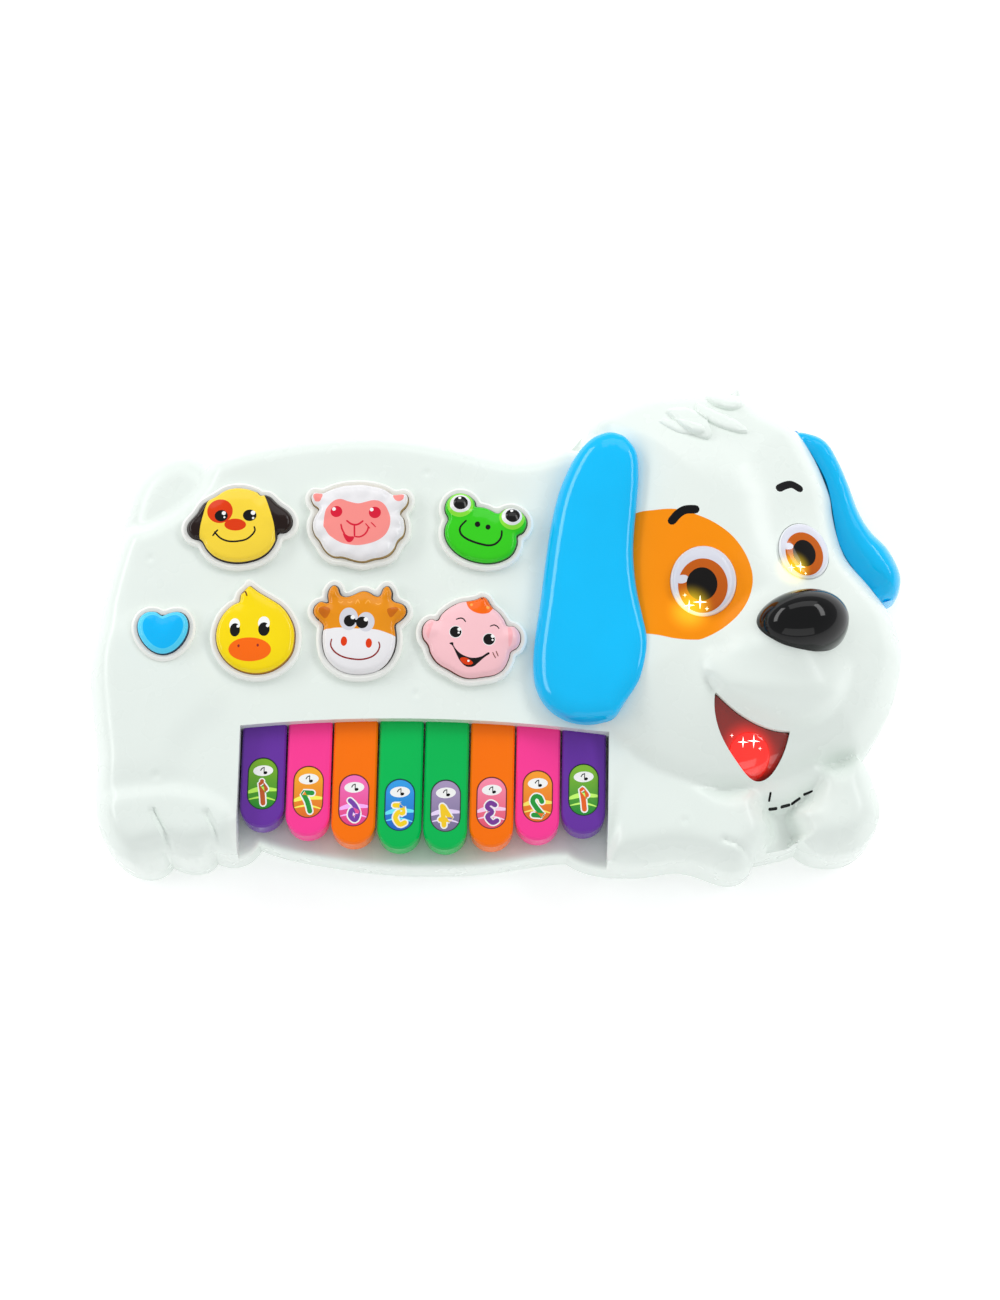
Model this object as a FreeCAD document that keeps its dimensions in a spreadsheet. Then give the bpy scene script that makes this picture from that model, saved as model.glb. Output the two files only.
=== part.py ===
"""Toy electronic keyboard shaped like a lying puppy, as a parametric FreeCAD document.

The toy lies on its back: +Z comes out of the keys and the face, +X runs from the tail to the
head, +Y from the keys to the back of the puppy.  The origin is the centre of the footprint, on
the surface that the rubber feet stand on.  All sizes are in millimetres.
"""
import FreeCAD
import Part
import Sketcher
import math
import os
from FreeCAD import Placement, Rotation, Vector

doc = FreeCAD.newDocument("ToyKeyboard")

# ---------------------------------------------------------------------------------------------
# Driving sizes
# ---------------------------------------------------------------------------------------------
SIZES = {
    # levels above the surface the toy stands on
    "foot_height": 2.0, "parting": 14.0, "deck": 39.0, "edge_level": 18.0, "wall": 2.5,
    "head_top": 57.0, "muzzle_top": 66.0, "tail_top": 33.0, "leg_top": 37.0, "paw_top": 38.0,
    "chin_top": 33.0, "panel_top": 23.0,
    # key well
    "well_left": -100.5, "well_right": 44.2, "well_back": -44.2, "well_back_end": -48.4,
    "well_front": -115.0, "tray_level": 20.0, "slot_length": 7.0, "slot_width": 6.5,
    # keys
    "key_pitch": 17.95, "key_first": -91.1, "key_width": 17.2, "key_base": 24.5,
    "key_height": 10.0, "key_back": -43.2, "key_wall": 2.0, "arm_width": 10.0,
    "barrel_radius": 3.0, "plunger_offset": -60.0, "plunger_length": 5.0, "plunger_width": 4.0,
    "plunger_low": 17.6, "label_length": 21.0, "label_width": 12.0, "label_setback": 17.5,
    "label_depth": 0.6, "label_thick": 0.3,
    # hinge rod and its rail
    "hinge_back": -40.0, "hinge_level": 28.0, "rod_radius": 1.5, "bore_clearance": 0.05,
    "rail_thick": 2.0, "rail_front": -42.4, "rail_rear": -37.0, "lug_width": 6.0,
    "lug_low": 25.2, "stake_radius": 1.4, "stake_head": 2.2,
    # buttons
    "button_top": 44.0, "button_low": 30.0, "button_wall": 1.8, "button_gap": 0.4,
    "button_flange": 1.5, "flange_low": 34.4, "flange_high": 36.4, "button_round": 1.0,
    "rim_width": 2.0, "rim_top": 42.0, "stem_radius": 4.0,
    # face
    "ear_rise": 8.0, "ear_right_low": 9.0, "ear_right_top": 35.0,
    "eye_left_half_x": 12.8, "eye_left_half_y": 14.2, "eye_right_half_x": 10.2,
    "eye_right_half_y": 11.8, "eye_bulge": 4.0, "eye_sink": 2.0, "eye_print_thick": 1.5,
    "nose_half_x": 19.3, "nose_half_y": 13.4, "nose_half_z": 11.0, "nose_level": 66.0,
    "mouth_depth": 3.0, "mouth_thick": 2.0, "mouth_floor": 25.5, "face_gap": 0.15,
    # boards
    "board_thick": 1.6, "main_board_top": 24.5, "main_left": -146.0, "main_right": 14.0,
    "main_front": -28.0, "main_rear": 50.0, "key_board_top": 13.5, "key_board_left": -99.0,
    "key_board_right": 42.5, "key_board_front": -69.0, "key_board_rear": -52.0,
    "dome_radius": 4.5, "dome_tip": 2.6, "key_dome_radius": 3.4, "key_dome_tip": 2.2,
    "dome_clearance": 0.1,
    # power
    "cell_radius": 7.1, "cell_length": 49.2, "cell_level": 11.4, "cell_pitch": 15.4,
    "cell_middle_x": -51.0, "cell_middle_y": 11.0, "cap_radius": 2.7, "cap_length": 1.3,
    "bay_length": 58.0, "bay_width": 56.0, "bay_top": 20.5, "bay_wall": 1.5,
    "door_thick": 2.0, "door_gap": 0.3, "door_screw_radius": 1.2, "door_pin_radius": 0.7,
    "door_pin_reach": 1.0, "spring_radius": 4.2, "spring_wire": 0.4, "contact_thick": 0.4,
    # speaker
    "speaker_x": 92.0, "speaker_y": 38.0, "speaker_radius": 25.0, "magnet_radius": 13.0,
    # fasteners and feet
    "boss_radius": 3.2, "screw_radius": 1.3, "screw_head": 2.8, "post_radius": 4.6,
    "board_screw_radius": 0.9, "board_screw_head": 2.1, "foot_radius": 6.5,
    # power switch
    "switch_x": 22.0, "switch_y": -20.0, "switch_travel": 4.0,
    # leads
    "lead_radius": 0.6,
}
KEY_COLOURS = 8
sheet = doc.addObject("Spreadsheet::Sheet", "Sizes")
for row, (alias, value) in enumerate(SIZES.items(), start=1):
    sheet.set(f"A{row}", alias)
    sheet.set(f"B{row}", str(value))
    sheet.setAlias(f"B{row}", alias)
doc.recompute()


def size(alias):
    """The value of one cell of the sheet."""
    return float(sheet.get(alias))


# ---------------------------------------------------------------------------------------------
# Outlines seen from above: each is a list of spline stretches that meet at corners
# ---------------------------------------------------------------------------------------------
HEAD_SIDE = [(153.9, 12.8), (149.5, 17.1), (144.4, 22.5), (139.3, 30), (136.3, 37.4),
             (134.8, 46.1), (133.4, 55.9), (131.4, 63.6), (127.3, 71.7), (123.1, 78.8),
             (118.5, 84.8)]
CHEEK = [(142.7, -53.3), (146.7, -50.4), (151.8, -43), (157.2, -32.3), (160.4, -20.6),
         (161.6, -10), (160.7, -2.6), (157.8, 4.8), (153.9, 12.8)]
SILHOUETTE = [
    [(7.5, 68.6), (-9, 71.5), (-21, 74.5), (-34, 76.8), (-50, 78.2), (-70, 78.1), (-86, 75),
     (-101.5, 71), (-113, 67), (-118.5, 64.5)],
    [(-118.5, 64.5), (-124.5, 68.2), (-130.5, 69.1), (-136.7, 67.5), (-143, 62.8),
     (-148, 55.8), (-151.2, 46), (-152.2, 31)],
    [(-152.2, 31), (-156, 19.5), (-159.2, 6.5), (-161.5, -7), (-162.4, -21.5),
     (-161.8, -32.3), (-160.3, -43), (-158.6, -52), (-157.6, -61), (-158, -70), (-157.1, -79),
     (-155.5, -88), (-152, -94.5), (-146.8, -100), (-141.5, -102.8), (-135.4, -103.6),
     (-130.4, -101.8), (-127.5, -98.6)],
    [(-127.5, -98.6), (-123.5, -100.3), (-117.5, -101.1), (-112.5, -99.5), (-109.9, -96.6)],
    [(-109.9, -96.6), (-107.3, -97.5), (-101.2, -97.7), (-96.9, -95.8), (-92.8, -90.9)],
    [(-92.8, -90.9), (-85.3, -93.4), (-65.6, -97.1), (-40.5, -99.8), (-25, -99.9),
     (-6.8, -99), (5.3, -97.3), (17.6, -95), (28.7, -93.9)],
    [(28.7, -93.9), (39.9, -98.4), (51.1, -99.2), (61.2, -98.6), (71.4, -96.8),
     (81.6, -98.6), (87.7, -100.8), (94.7, -101.6), (99.8, -99.3), (102.4, -93.8)],
    [(102.4, -93.8), (108.4, -92.4), (114, -91), (119.2, -89)],
    [(119.2, -89), (124.9, -92.7), (132, -93.8), (141.2, -91.9), (147.4, -86.6),
     (151.6, -78.2), (151.8, -71.9), (149.7, -64.7), (147.6, -58.8), (142.7, -53.3)],
    CHEEK + HEAD_SIDE[1:],
    [(118.5, 84.8), (112.6, 88.1), (106.2, 91.8), (100.5, 94.8), (98.2, 97)],
    [(98.2, 97), (97.9, 100.5), (96.4, 103.6)],
    [(96.4, 103.6), (91.7, 101), (87.6, 99.7), (80.3, 99.4), (69.8, 99.2), (61.4, 98.4),
     (52, 96), (42.6, 91), (34.2, 83.4), (28.2, 76.1), (20.9, 70.6), (13.6, 68.3),
     (7.5, 68.6)],
]
EAR_LEFT = [
    [(45.9, -43.9), (49.6, -38.9), (55.1, -30.5), (57.8, -21.3), (58.2, -13), (56.5, -4.7),
     (54.1, 6.1), (52.8, 17), (52.7, 27.2), (53.8, 42.6), (54.4, 53.8), (53.7, 63.1),
     (50.3, 69.1), (47.1, 71.6), (42.2, 72.8), (35.7, 70.5), (30, 64.4), (25.3, 54.9),
     (22.2, 45.3), (19.9, 33.4), (18.1, 19.7), (16.3, 2.8), (14.5, -11.4), (13.9, -22.2),
     (15.2, -31.3), (19.3, -38.6), (25.8, -43.5), (32.9, -45.4), (40.9, -45.2),
     (45.9, -43.9)],
]
EAR_RIGHT_OUTER = [(118.5, 84.8), (123.2, 85.1), (129.5, 83.1), (134.2, 79), (138.2, 71.4),
                   (141.7, 62.6), (145.8, 50.7), (150.8, 42.2), (156.9, 35.7), (161, 28.2),
                   (162.4, 21.7), (160.2, 15.2), (153.9, 12.8)]
MOUTH = [
    [(114.5, -48.2), (113, -54.4), (109.8, -61), (105.9, -64.9), (102.9, -65.8),
     (99.4, -64.9), (93.7, -60), (87.3, -50.9), (84.4, -40.2), (84.7, -35.3)],
    [(84.7, -35.3), (94.4, -42.8), (102.7, -46.6), (108.4, -48), (114.5, -48.2)],
]
BUTTONS = {
    "button_dog": [
        [(-95.5, 45.7), (-92.8, 45.7), (-89.6, 42.8), (-84.9, 39.3), (-82.8, 35.5),
         (-83.4, 32.3), (-85.5, 30.4), (-88.4, 30)],
        [(-88.4, 30), (-89, 27.1), (-91, 22.9), (-94.5, 19.7), (-99.2, 17.8), (-104.7, 17.1),
         (-109.5, 17.8), (-113.9, 19.9), (-117.1, 23.4), (-118.7, 26.8)],
        [(-118.7, 26.8), (-121.2, 26.8), (-123.7, 28.6), (-124.7, 31.5), (-123.9, 34.1),
         (-121.3, 37.3), (-118.5, 41.9), (-115.9, 43.7), (-112.6, 45.8)],
        [(-112.6, 45.8), (-109, 48), (-103.9, 48.7), (-99.6, 47.9), (-95.5, 45.7)],
    ],
    "button_sheep": [
        [(-70, 47.8), (-65.5, 49.7), (-60.4, 50.8), (-54.3, 50.9), (-48.4, 49.9),
         (-43.5, 47.4)],
        [(-43.5, 47.4), (-40.8, 47.3), (-38.3, 47.7), (-36.9, 45.8), (-37.4, 42.5),
         (-40.5, 39.6)],
        [(-40.5, 39.6), (-38.6, 37.1), (-37.8, 33.3), (-38.3, 30), (-40.8, 27.6)],
        [(-40.8, 27.6), (-41.6, 24.6), (-44.3, 21.3), (-47.3, 20.2), (-50.6, 19.6)],
        [(-50.6, 19.6), (-56, 18.6), (-60.3, 19.7), (-63, 20.3)],
        [(-63, 20.3), (-67, 20.9), (-69.8, 23.4), (-71.5, 26.8)],
        [(-71.5, 26.8), (-73.3, 28.7), (-74.5, 31.2), (-74.8, 35.1), (-73.7, 38),
         (-72.5, 40.2)],
        [(-72.5, 40.2), (-75, 42.7), (-75.8, 45.6), (-74.6, 47.5), (-72.3, 47.2),
         (-70, 47.8)],
    ],
    "button_frog": [
        [(-9.6, 42.7), (-6.4, 42.4), (-3.4, 41.2), (-0.9, 39.5)],
        [(-0.9, 39.5), (1.6, 41.9), (5, 42.4), (8.6, 40.6), (10.7, 36.9), (9.9, 33.3),
         (6.9, 30.6)],
        [(6.9, 30.6), (6.8, 27), (5.1, 23.1), (1.5, 20.4), (-4, 19), (-9.6, 19.5),
         (-15.2, 21.6), (-19.4, 25), (-21.7, 28.7), (-22.3, 32.2), (-21.7, 35.2),
         (-20.4, 37.4)],
        [(-20.4, 37.4), (-22, 39.9), (-22.3, 43), (-20.7, 46.3), (-17.4, 48.2),
         (-13.6, 47.8), (-10.8, 45.6), (-9.6, 42.7)],
    ],
    "button_duck": [
        [(-98.8, 8.6), (-94.9, 5.4), (-89.4, 2.2), (-85.3, -0.7), (-82.2, -4.9),
         (-80.3, -9.6), (-80, -14.6), (-81, -19.6), (-83.9, -23.7), (-88.5, -26.9),
         (-94.2, -28.3), (-100.2, -27.5), (-105.7, -24.5), (-109.5, -19.9), (-111.3, -14.3),
         (-110.9, -8.9), (-108.7, -3.9), (-105.5, -0.4), (-101.7, 1.5)],
        [(-101.7, 1.5), (-102.3, 4.1), (-101, 5.8), (-98.8, 8.6)],
    ],
    "button_cow": [
        [(-67.4, 1.8), (-67.8, 4.8), (-67, 7.7), (-65.2, 9), (-63.7, 8.1), (-62.7, 5.5),
         (-60.6, 4.3)],
        [(-60.6, 4.3), (-57.3, 5.3), (-53.7, 6.8), (-50.9, 6.1), (-48.5, 4.3)],
        [(-48.5, 4.3), (-46.7, 5.9), (-45.6, 8.4), (-44.4, 9.1), (-42.8, 7.8), (-42, 5.3),
         (-42.4, 2.6)],
        [(-42.4, 2.6), (-39.4, 2.2), (-36.9, 0.7), (-36.2, -1.8), (-37.7, -4.3),
         (-40.9, -7.2)],
        [(-40.9, -7.2), (-40.1, -11.3), (-40.2, -15.7), (-41.7, -20.4), (-44.9, -24.5),
         (-49.7, -26.9), (-54.4, -27.6), (-59.8, -27), (-64.7, -24.3), (-67.9, -20.3),
         (-69.2, -15.9), (-69.4, -11.2), (-68.8, -7.5)],
        [(-68.8, -7.5), (-71.4, -5.3), (-73.3, -1.9), (-72.5, 0.6), (-69.8, 2.1),
         (-67.4, 1.8)],
    ],
    "button_baby": [
        [(-7, 5.3), (-4.6, 4.3), (-3, 1.6), (0.2, -1.3), (2.1, -3.9), (3.6, -6.6)],
        [(3.6, -6.6), (6.3, -6.9), (8.3, -9), (8.9, -11.6), (8, -14.8), (5.2, -16.7)],
        [(5.2, -16.7), (4.3, -20.1), (2.5, -24), (-0.6, -26.5), (-6.2, -27.8),
         (-11.8, -28.4), (-15.5, -27.3), (-19.3, -25.1), (-23.2, -22.9), (-26, -19.7),
         (-27.5, -14.8)],
        [(-27.5, -14.8), (-29.7, -12.3), (-30.2, -9.7), (-29.2, -6.1), (-26.7, -4.4),
         (-24.1, -4.9)],
        [(-24.1, -4.9), (-21.8, -1.4), (-18.4, 1.3), (-15, 2.9), (-11, 3.6), (-7, 5.3)],
    ],
    "button_heart": [
        [(-132.3, -5), (-128.9, -3.6), (-125.5, -3.5), (-122.9, -5.7), (-121.9, -9.4),
         (-122.6, -13.3), (-125.2, -17.7), (-128.3, -20.2), (-131.9, -21.1), (-135.8, -20),
         (-139.2, -17.2), (-141.7, -13.3), (-142.5, -9), (-141, -5.2), (-138, -3.5),
         (-135, -3.7), (-132.3, -5)],
    ],
}

# Closed outlines of the swellings of the front shell, each one a smooth loop
BODY = [(7, 69), (-21, 74.5), (-50, 78.2), (-86, 75), (-113, 67), (-119, 60), (-123, 52),
        (-128, 45.5), (-135, 40), (-142, 35.5), (-152, 30), (-159.2, 6.5), (-162.4, -21.5),
        (-160.3, -43), (-157.6, -61), (-157.1, -79), (-152, -94.5), (-141.5, -102.8),
        (-127, -100), (-117.5, -101), (-101.2, -97.7), (-92.8, -91.5), (-65.6, -97.1),
        (-40.5, -99.8), (-6.8, -99), (17.6, -95), (42, -98), (60, -60), (66, 0), (56, 60),
        (30, 74)]
TAIL = [(-108, 58), (-118.5, 64.5), (-124.5, 68.2), (-130.5, 69.1), (-136.7, 67.5),
        (-143, 62.8), (-148, 55.8), (-151.2, 46), (-152.2, 31), (-144, 20), (-120, 34)]
HEAD = [(98, 97), (80, 99.4), (61.4, 98.4), (52, 96), (42.6, 91), (34.2, 83.4), (32, 66),
        (29, 44), (26, 12), (23, -22), (28, -42), (38, -54), (50, -62), (60, -68), (72, -72),
        (84, -73), (94, -72), (104, -69), (116, -65), (130, -59), (142.7, -53.3),
        (151.8, -43), (157.2, -32.3), (160.4, -20.6), (161.6, -10), (157.8, 4.8), (149.5, 17),
        (139.3, 30), (134.8, 46), (133.4, 55.9), (127.3, 71.7), (118.5, 84.8), (106.2, 91.8)]
CHIN = [(78, -58), (84, -76), (96, -80), (108, -80), (125, -73), (138, -60), (120, -48)]
LEG = [(43, -40), (60, -50), (78, -59), (92, -66.5), (102, -67.2), (105.5, -70),
       (106.5, -76), (107.5, -85), (105, -93), (102.4, -94.6), (99.8, -99.3), (94.7, -101.6),
       (87.7, -100.8), (81.6, -98.6), (71.4, -96.8), (61.2, -98.6), (51.1, -99.2),
       (43, -98.6), (41, -70)]
PAW_RIGHT = [(139.7, -56), (131.6, -57.2), (124.7, -62), (121, -71), (117, -78),
             (118, -88), (124.9, -92.7), (132, -93.8), (141.2, -91.9), (147.4, -86.6),
             (151.6, -78.2), (151.8, -71.9), (149.7, -64.7), (147.6, -58.8), (144, -54)]
PANEL = [(96, -96), (98, -66), (126, -64), (124, -92)]
MUZZLE_CENTRE, MUZZLE_HALF = (112.0, -21.0), (40.0, 29.0)


def loop(points, steps=5):
    """A closed Catmull-Rom curve through the points, as a fine polygon."""
    polygon = []
    count = len(points)
    for i in range(count):
        a, b, c, d = (points[(i + k) % count] for k in (-1, 0, 1, 2))
        for step in range(steps):
            u = step / steps
            polygon.append(tuple(
                0.5 * (2 * q + (r - p) * u + (2 * p - 5 * q + 4 * r - s) * u * u
                       + (3 * q - p - 3 * r + s) * u ** 3)
                for p, q, r, s in zip(a, b, c, d)))
    return polygon


def depth_inside(x, y, polygon):
    """Distance from the polygon's edge, positive inside it."""
    nearest, inside = float("inf"), False
    x1, y1 = polygon[-1]
    for x2, y2 in polygon:
        dx, dy = x2 - x1, y2 - y1
        length = dx * dx + dy * dy
        along = ((x - x1) * dx + (y - y1) * dy) / length if length else 0.0
        along = max(0.0, min(1.0, along))
        nearest = min(nearest, (x - x1 - along * dx) ** 2 + (y - y1 - along * dy) ** 2)
        if (y1 > y) != (y2 > y) and x < (x2 - x1) * (y - y1) / (y2 - y1) + x1:
            inside = not inside
        x1, y1 = x2, y2
    return math.sqrt(nearest) * (1 if inside else -1)


def swell(depth, low, high, edge):
    """Height of a pillow: low at its rim, high from the depth edge inwards."""
    return low + (high - low) * math.sin(math.pi / 2 * max(0.0, min(1.0, depth / edge)))


PILLOWS = [  # outline, low, high, width of the rounded edge
    (loop(BODY), size("edge_level"), size("deck"), 12.0),
    (loop(TAIL), size("edge_level"), size("tail_top"), 12.0),
    (loop(HEAD), size("edge_level"), size("head_top"), 52.0),
    (loop(CHIN), size("edge_level"), size("chin_top"), 9.0),
    (loop(LEG), size("edge_level"), size("leg_top"), 11.0),
    (loop(PAW_RIGHT), size("edge_level"), size("paw_top"), 13.0),
    (loop(PANEL), size("edge_level"), size("panel_top"), 4.0),
]


def front_height(x, y):
    """Height of the front shell's outer face."""
    height = size("edge_level")
    for outline, low, high, edge in PILLOWS:
        depth = depth_inside(x, y, outline)
        if depth > 0:
            height = max(height, swell(depth, low, high, edge))
    reach = 1 - math.hypot((x - MUZZLE_CENTRE[0]) / MUZZLE_HALF[0],
                           (y - MUZZLE_CENTRE[1]) / MUZZLE_HALF[1])
    if reach > 0:
        height = max(height, swell(reach, size("edge_level") + 20, size("muzzle_top"), 0.9))
    return height


# ---------------------------------------------------------------------------------------------
# Shape helpers
# ---------------------------------------------------------------------------------------------
def stretch(points):
    """One spline edge through the points."""
    curve = Part.BSplineCurve()
    curve.interpolate([Vector(x, y, 0) for x, y in points])
    return curve.toShape()


def outline_face(stretches):
    """The flat face inside a closed outline made of spline stretches."""
    return Part.Face(Part.Wire([stretch(points) for points in stretches]))


def grown(face, distance):
    """The face with its outline moved outwards, or inwards for a negative distance."""
    edges = []
    for edge in face.makeOffset2D(distance).OuterWire.OrderedEdges:
        if isinstance(edge.Curve, (Part.Line, Part.Circle)):
            edges.append(edge)
            continue
        curve = Part.BSplineCurve()
        curve.interpolate(edge.discretize(max(4, round(edge.Length / 2.0))))
        edges.append(curve.toShape())
    return Part.Face(Part.Wire(edges))


def outline_points(stretches, spacing=0.5):
    """Evenly spaced points along a closed outline."""
    points = []
    for stretch_points in stretches:
        edge = stretch(stretch_points)
        count = max(2, round(edge.Length / spacing))
        points += [(point.x, point.y) for point in edge.discretize(count + 1)[:-1]]
    return points


def ring_face(stretches, distance, spacing=1.6):
    """The face inside one smooth closed curve at a distance outside the outline."""
    outline = outline_points(stretches)
    count = len(outline)
    area = sum(outline[i - 1][0] * outline[i][1] - outline[i][0] * outline[i - 1][1]
               for i in range(count))
    side = distance * math.copysign(1, area)
    moved = []
    for i in range(count):
        (x0, y0), (x1, y1) = outline[i - 2], outline[(i + 2) % count]
        length = math.hypot(x1 - x0, y1 - y0)
        x = outline[i][0] + side * (y1 - y0) / length
        y = outline[i][1] - side * (x1 - x0) / length
        reach = depth_inside(x, y, outline)
        if abs(reach) > 0.96 * abs(distance) and (reach < 0) == (distance > 0):
            moved.append(Vector(x, y, 0))
    spaced = moved[:1]
    for point in moved[1:]:
        if point.distanceToPoint(spaced[-1]) >= spacing:
            spaced.append(point)
    if spaced[-1].distanceToPoint(spaced[0]) < spacing / 2:
        spaced.pop()
    curve = Part.BSplineCurve()
    curve.interpolate(spaced, PeriodicFlag=True)
    return Part.Face(Part.Wire(curve.toShape()))


def slab(face, low, high):
    """The solid over a flat face, between two levels."""
    solid = face.extrude(Vector(0, 0, high - low))
    solid.translate(Vector(0, 0, low))
    return solid


def sampled(height_at, x_range, y_range, spacing):
    """Points of a height function on an even grid."""
    counts = [int((high - low) / spacing) + 1 for low, high in (x_range, y_range)]
    xs = [x_range[0] + (x_range[1] - x_range[0]) * i / counts[0] for i in range(counts[0] + 1)]
    ys = [y_range[0] + (y_range[1] - y_range[0]) * i / counts[1] for i in range(counts[1] + 1)]
    return [[Vector(x, y, height_at(x, y)) for y in ys] for x in xs]


def under_surface(points, lift=0.0):
    """A deep block whose top is the smooth surface through the points, lifted."""
    surface = Part.BSplineSurface()
    surface.interpolate([[point + Vector(0, 0, lift) for point in line] for line in points])
    return surface.toShape().extrude(Vector(0, 0, -120))


def cylinder(x, y, low, high, radius):
    """A solid cylinder along Z."""
    return Part.makeCylinder(radius, high - low, Vector(x, y, low))


def brick(x0, x1, y0, y1, z0, z1):
    """A solid box between three pairs of levels."""
    return Part.makeBox(x1 - x0, y1 - y0, z1 - z0, Vector(x0, y0, z0))


def tube(points, radius):
    """A round bar along straight runs joined by arcs as large as its runs allow."""
    points = [Vector(*point) for point in points]
    edges, start = [], points[0]
    for before, corner, after in zip(points, points[1:], points[2:]):
        to_corner, from_corner = corner - before, after - corner
        turn = to_corner.getAngle(from_corner)
        set_back = 0.45 * min(to_corner.Length, from_corner.Length)
        into, out = Vector(to_corner).normalize(), Vector(from_corner).normalize()
        first, last = corner - into * set_back, corner + out * set_back
        middle_way = (out - into).normalize()
        bend = set_back / math.tan(turn / 2)
        middle = corner + middle_way * (bend / math.cos(turn / 2) - bend)
        edges += [Part.LineSegment(start, first).toShape(),
                  Part.Arc(first, middle, last).toShape()]
        start = last
    edges.append(Part.LineSegment(start, points[-1]).toShape())
    section = Part.Wire(Part.Circle(points[0], points[1] - points[0], radius).toShape())
    return Part.Wire(edges).makePipeShell([section], True, True)


def coil(x, y, z, length, turns=3, corners=8):
    """A contact spring along X, from its fixed end."""
    count, radius = corners * turns, size("spring_radius")
    return tube([(x + length * i / count, y + radius * math.cos(math.tau * i / corners),
                  z + radius * math.sin(math.tau * i / corners)) for i in range(count + 1)],
                size("spring_wire"))


def feature(label, shape):
    """A sub-part whose shape is worked out here."""
    item = doc.addObject("Part::Feature", label)
    item.Label = label
    item.Shape = shape
    return item


def bind(item, **expressions):
    """Bind properties to the sheet; a double underscore stands for a dot."""
    for name, expression in expressions.items():
        item.setExpression(name.replace("__", "."), expression)
    return item


def box_item(label, x, y, z, length, width, height):
    """A bound box: corner and sides are expressions of the sheet's cells."""
    item = doc.addObject("Part::Box", label)
    item.Label = label
    return bind(item, Placement__Base__x=x, Placement__Base__y=y, Placement__Base__z=z,
                Length=length, Width=width, Height=height)


def cylinder_item(label, x, y, z, radius, height, axis=Vector(0, 0, 1)):
    """A bound cylinder along an axis."""
    item = doc.addObject("Part::Cylinder", label)
    item.Label = label
    item.Placement = Placement(Vector(), Rotation(Vector(0, 0, 1), axis))
    return bind(item, Placement__Base__x=x, Placement__Base__y=y, Placement__Base__z=z,
                Radius=radius, Height=height)


def cone_item(label, x, y, z, low_radius, high_radius, height):
    """A bound cone along Z."""
    item = doc.addObject("Part::Cone", label)
    item.Label = label
    return bind(item, Placement__Base__x=x, Placement__Base__y=y, Placement__Base__z=z,
                Radius1=low_radius, Radius2=high_radius, Height=height)


def cut_item(label, base, tool):
    item = doc.addObject("Part::Cut", label)
    item.Label = label
    item.Base, item.Tool = base, tool
    return item


def fuse_item(label, members):
    item = doc.addObject("Part::MultiFuse", label)
    item.Label = label
    item.Shapes = members
    return item


def group_item(label, members):
    """Separate solids that make one sub-part."""
    item = doc.addObject("Part::Compound", label)
    item.Label = label
    item.Links = members
    return item


# ---------------------------------------------------------------------------------------------
# Keys: PartDesign bodies, one for each key
# ---------------------------------------------------------------------------------------------
KEY_TIPS = [-88.0, -91.0, -94.0, -95.5, -95.5, -94.0, -91.0, -88.0]


def on_plane(body, name, role, level=None):
    """A sketch on one of the body's own origin planes, raised to a level."""
    drawing = body.newObject("Sketcher::SketchObject", name)
    plane = next(item for item in body.Origin.OriginFeatures if item.Role == role)
    drawing.AttachmentSupport = [(plane, "")]
    drawing.MapMode = "FlatFace"
    if level:
        drawing.setExpression("AttachmentOffset.Base.z", level)
    return drawing


def fix(drawing, constraint, expression):
    """Add a dimension and bind it."""
    index = drawing.addConstraint(constraint)
    drawing.setExpression(f"Constraints[{index}]", expression)


def tongue(drawing, half, tip, back, half_expression, centre_expression, back_expression):
    """A strip with a square back and a half-round tip towards -Y, centred on x = 0."""
    centre = tip + half
    drawing.addGeometry([
        Part.LineSegment(Vector(-half, centre, 0), Vector(-half, back, 0)),
        Part.LineSegment(Vector(-half, back, 0), Vector(half, back, 0)),
        Part.LineSegment(Vector(half, back, 0), Vector(half, centre, 0)),
        Part.ArcOfCircle(Part.Circle(Vector(0, centre, 0), Vector(0, 0, 1), half),
                         math.pi, 2 * math.pi)])
    drawing.addConstraint([
        Sketcher.Constraint("Coincident", 0, 2, 1, 1),
        Sketcher.Constraint("Coincident", 1, 2, 2, 1),
        Sketcher.Constraint("Tangent", 0, 1, 3, 1),
        Sketcher.Constraint("Tangent", 2, 2, 3, 2),
        Sketcher.Constraint("Horizontal", 1),
        Sketcher.Constraint("Vertical", 0),
        Sketcher.Constraint("PointOnObject", 3, 3, -2)])
    fix(drawing, Sketcher.Constraint("Radius", 3, half), half_expression)
    fix(drawing, Sketcher.Constraint("DistanceY", -1, 1, 3, 3, centre), centre_expression)
    fix(drawing, Sketcher.Constraint("DistanceY", -1, 1, 1, 1, back), back_expression)


def oval(drawing, half, low, high, half_expression, low_expression, high_expression):
    """A slot-shaped outline along Y, centred on x = 0, between two round-end centres."""
    drawing.addGeometry([
        Part.LineSegment(Vector(half, low, 0), Vector(half, high, 0)),
        Part.ArcOfCircle(Part.Circle(Vector(0, high, 0), Vector(0, 0, 1), half), 0, math.pi),
        Part.LineSegment(Vector(-half, high, 0), Vector(-half, low, 0)),
        Part.ArcOfCircle(Part.Circle(Vector(0, low, 0), Vector(0, 0, 1), half),
                         math.pi, 2 * math.pi)])
    drawing.addConstraint([
        Sketcher.Constraint("Tangent", 0, 2, 1, 1),
        Sketcher.Constraint("Tangent", 1, 2, 2, 1),
        Sketcher.Constraint("Tangent", 2, 2, 3, 1),
        Sketcher.Constraint("Tangent", 3, 2, 0, 1),
        Sketcher.Constraint("Vertical", 0),
        Sketcher.Constraint("PointOnObject", 1, 3, -2)])
    fix(drawing, Sketcher.Constraint("Radius", 1, half), half_expression)
    fix(drawing, Sketcher.Constraint("DistanceY", -1, 1, 3, 3, low), low_expression)
    fix(drawing, Sketcher.Constraint("DistanceY", -1, 1, 1, 3, high), high_expression)


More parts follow.
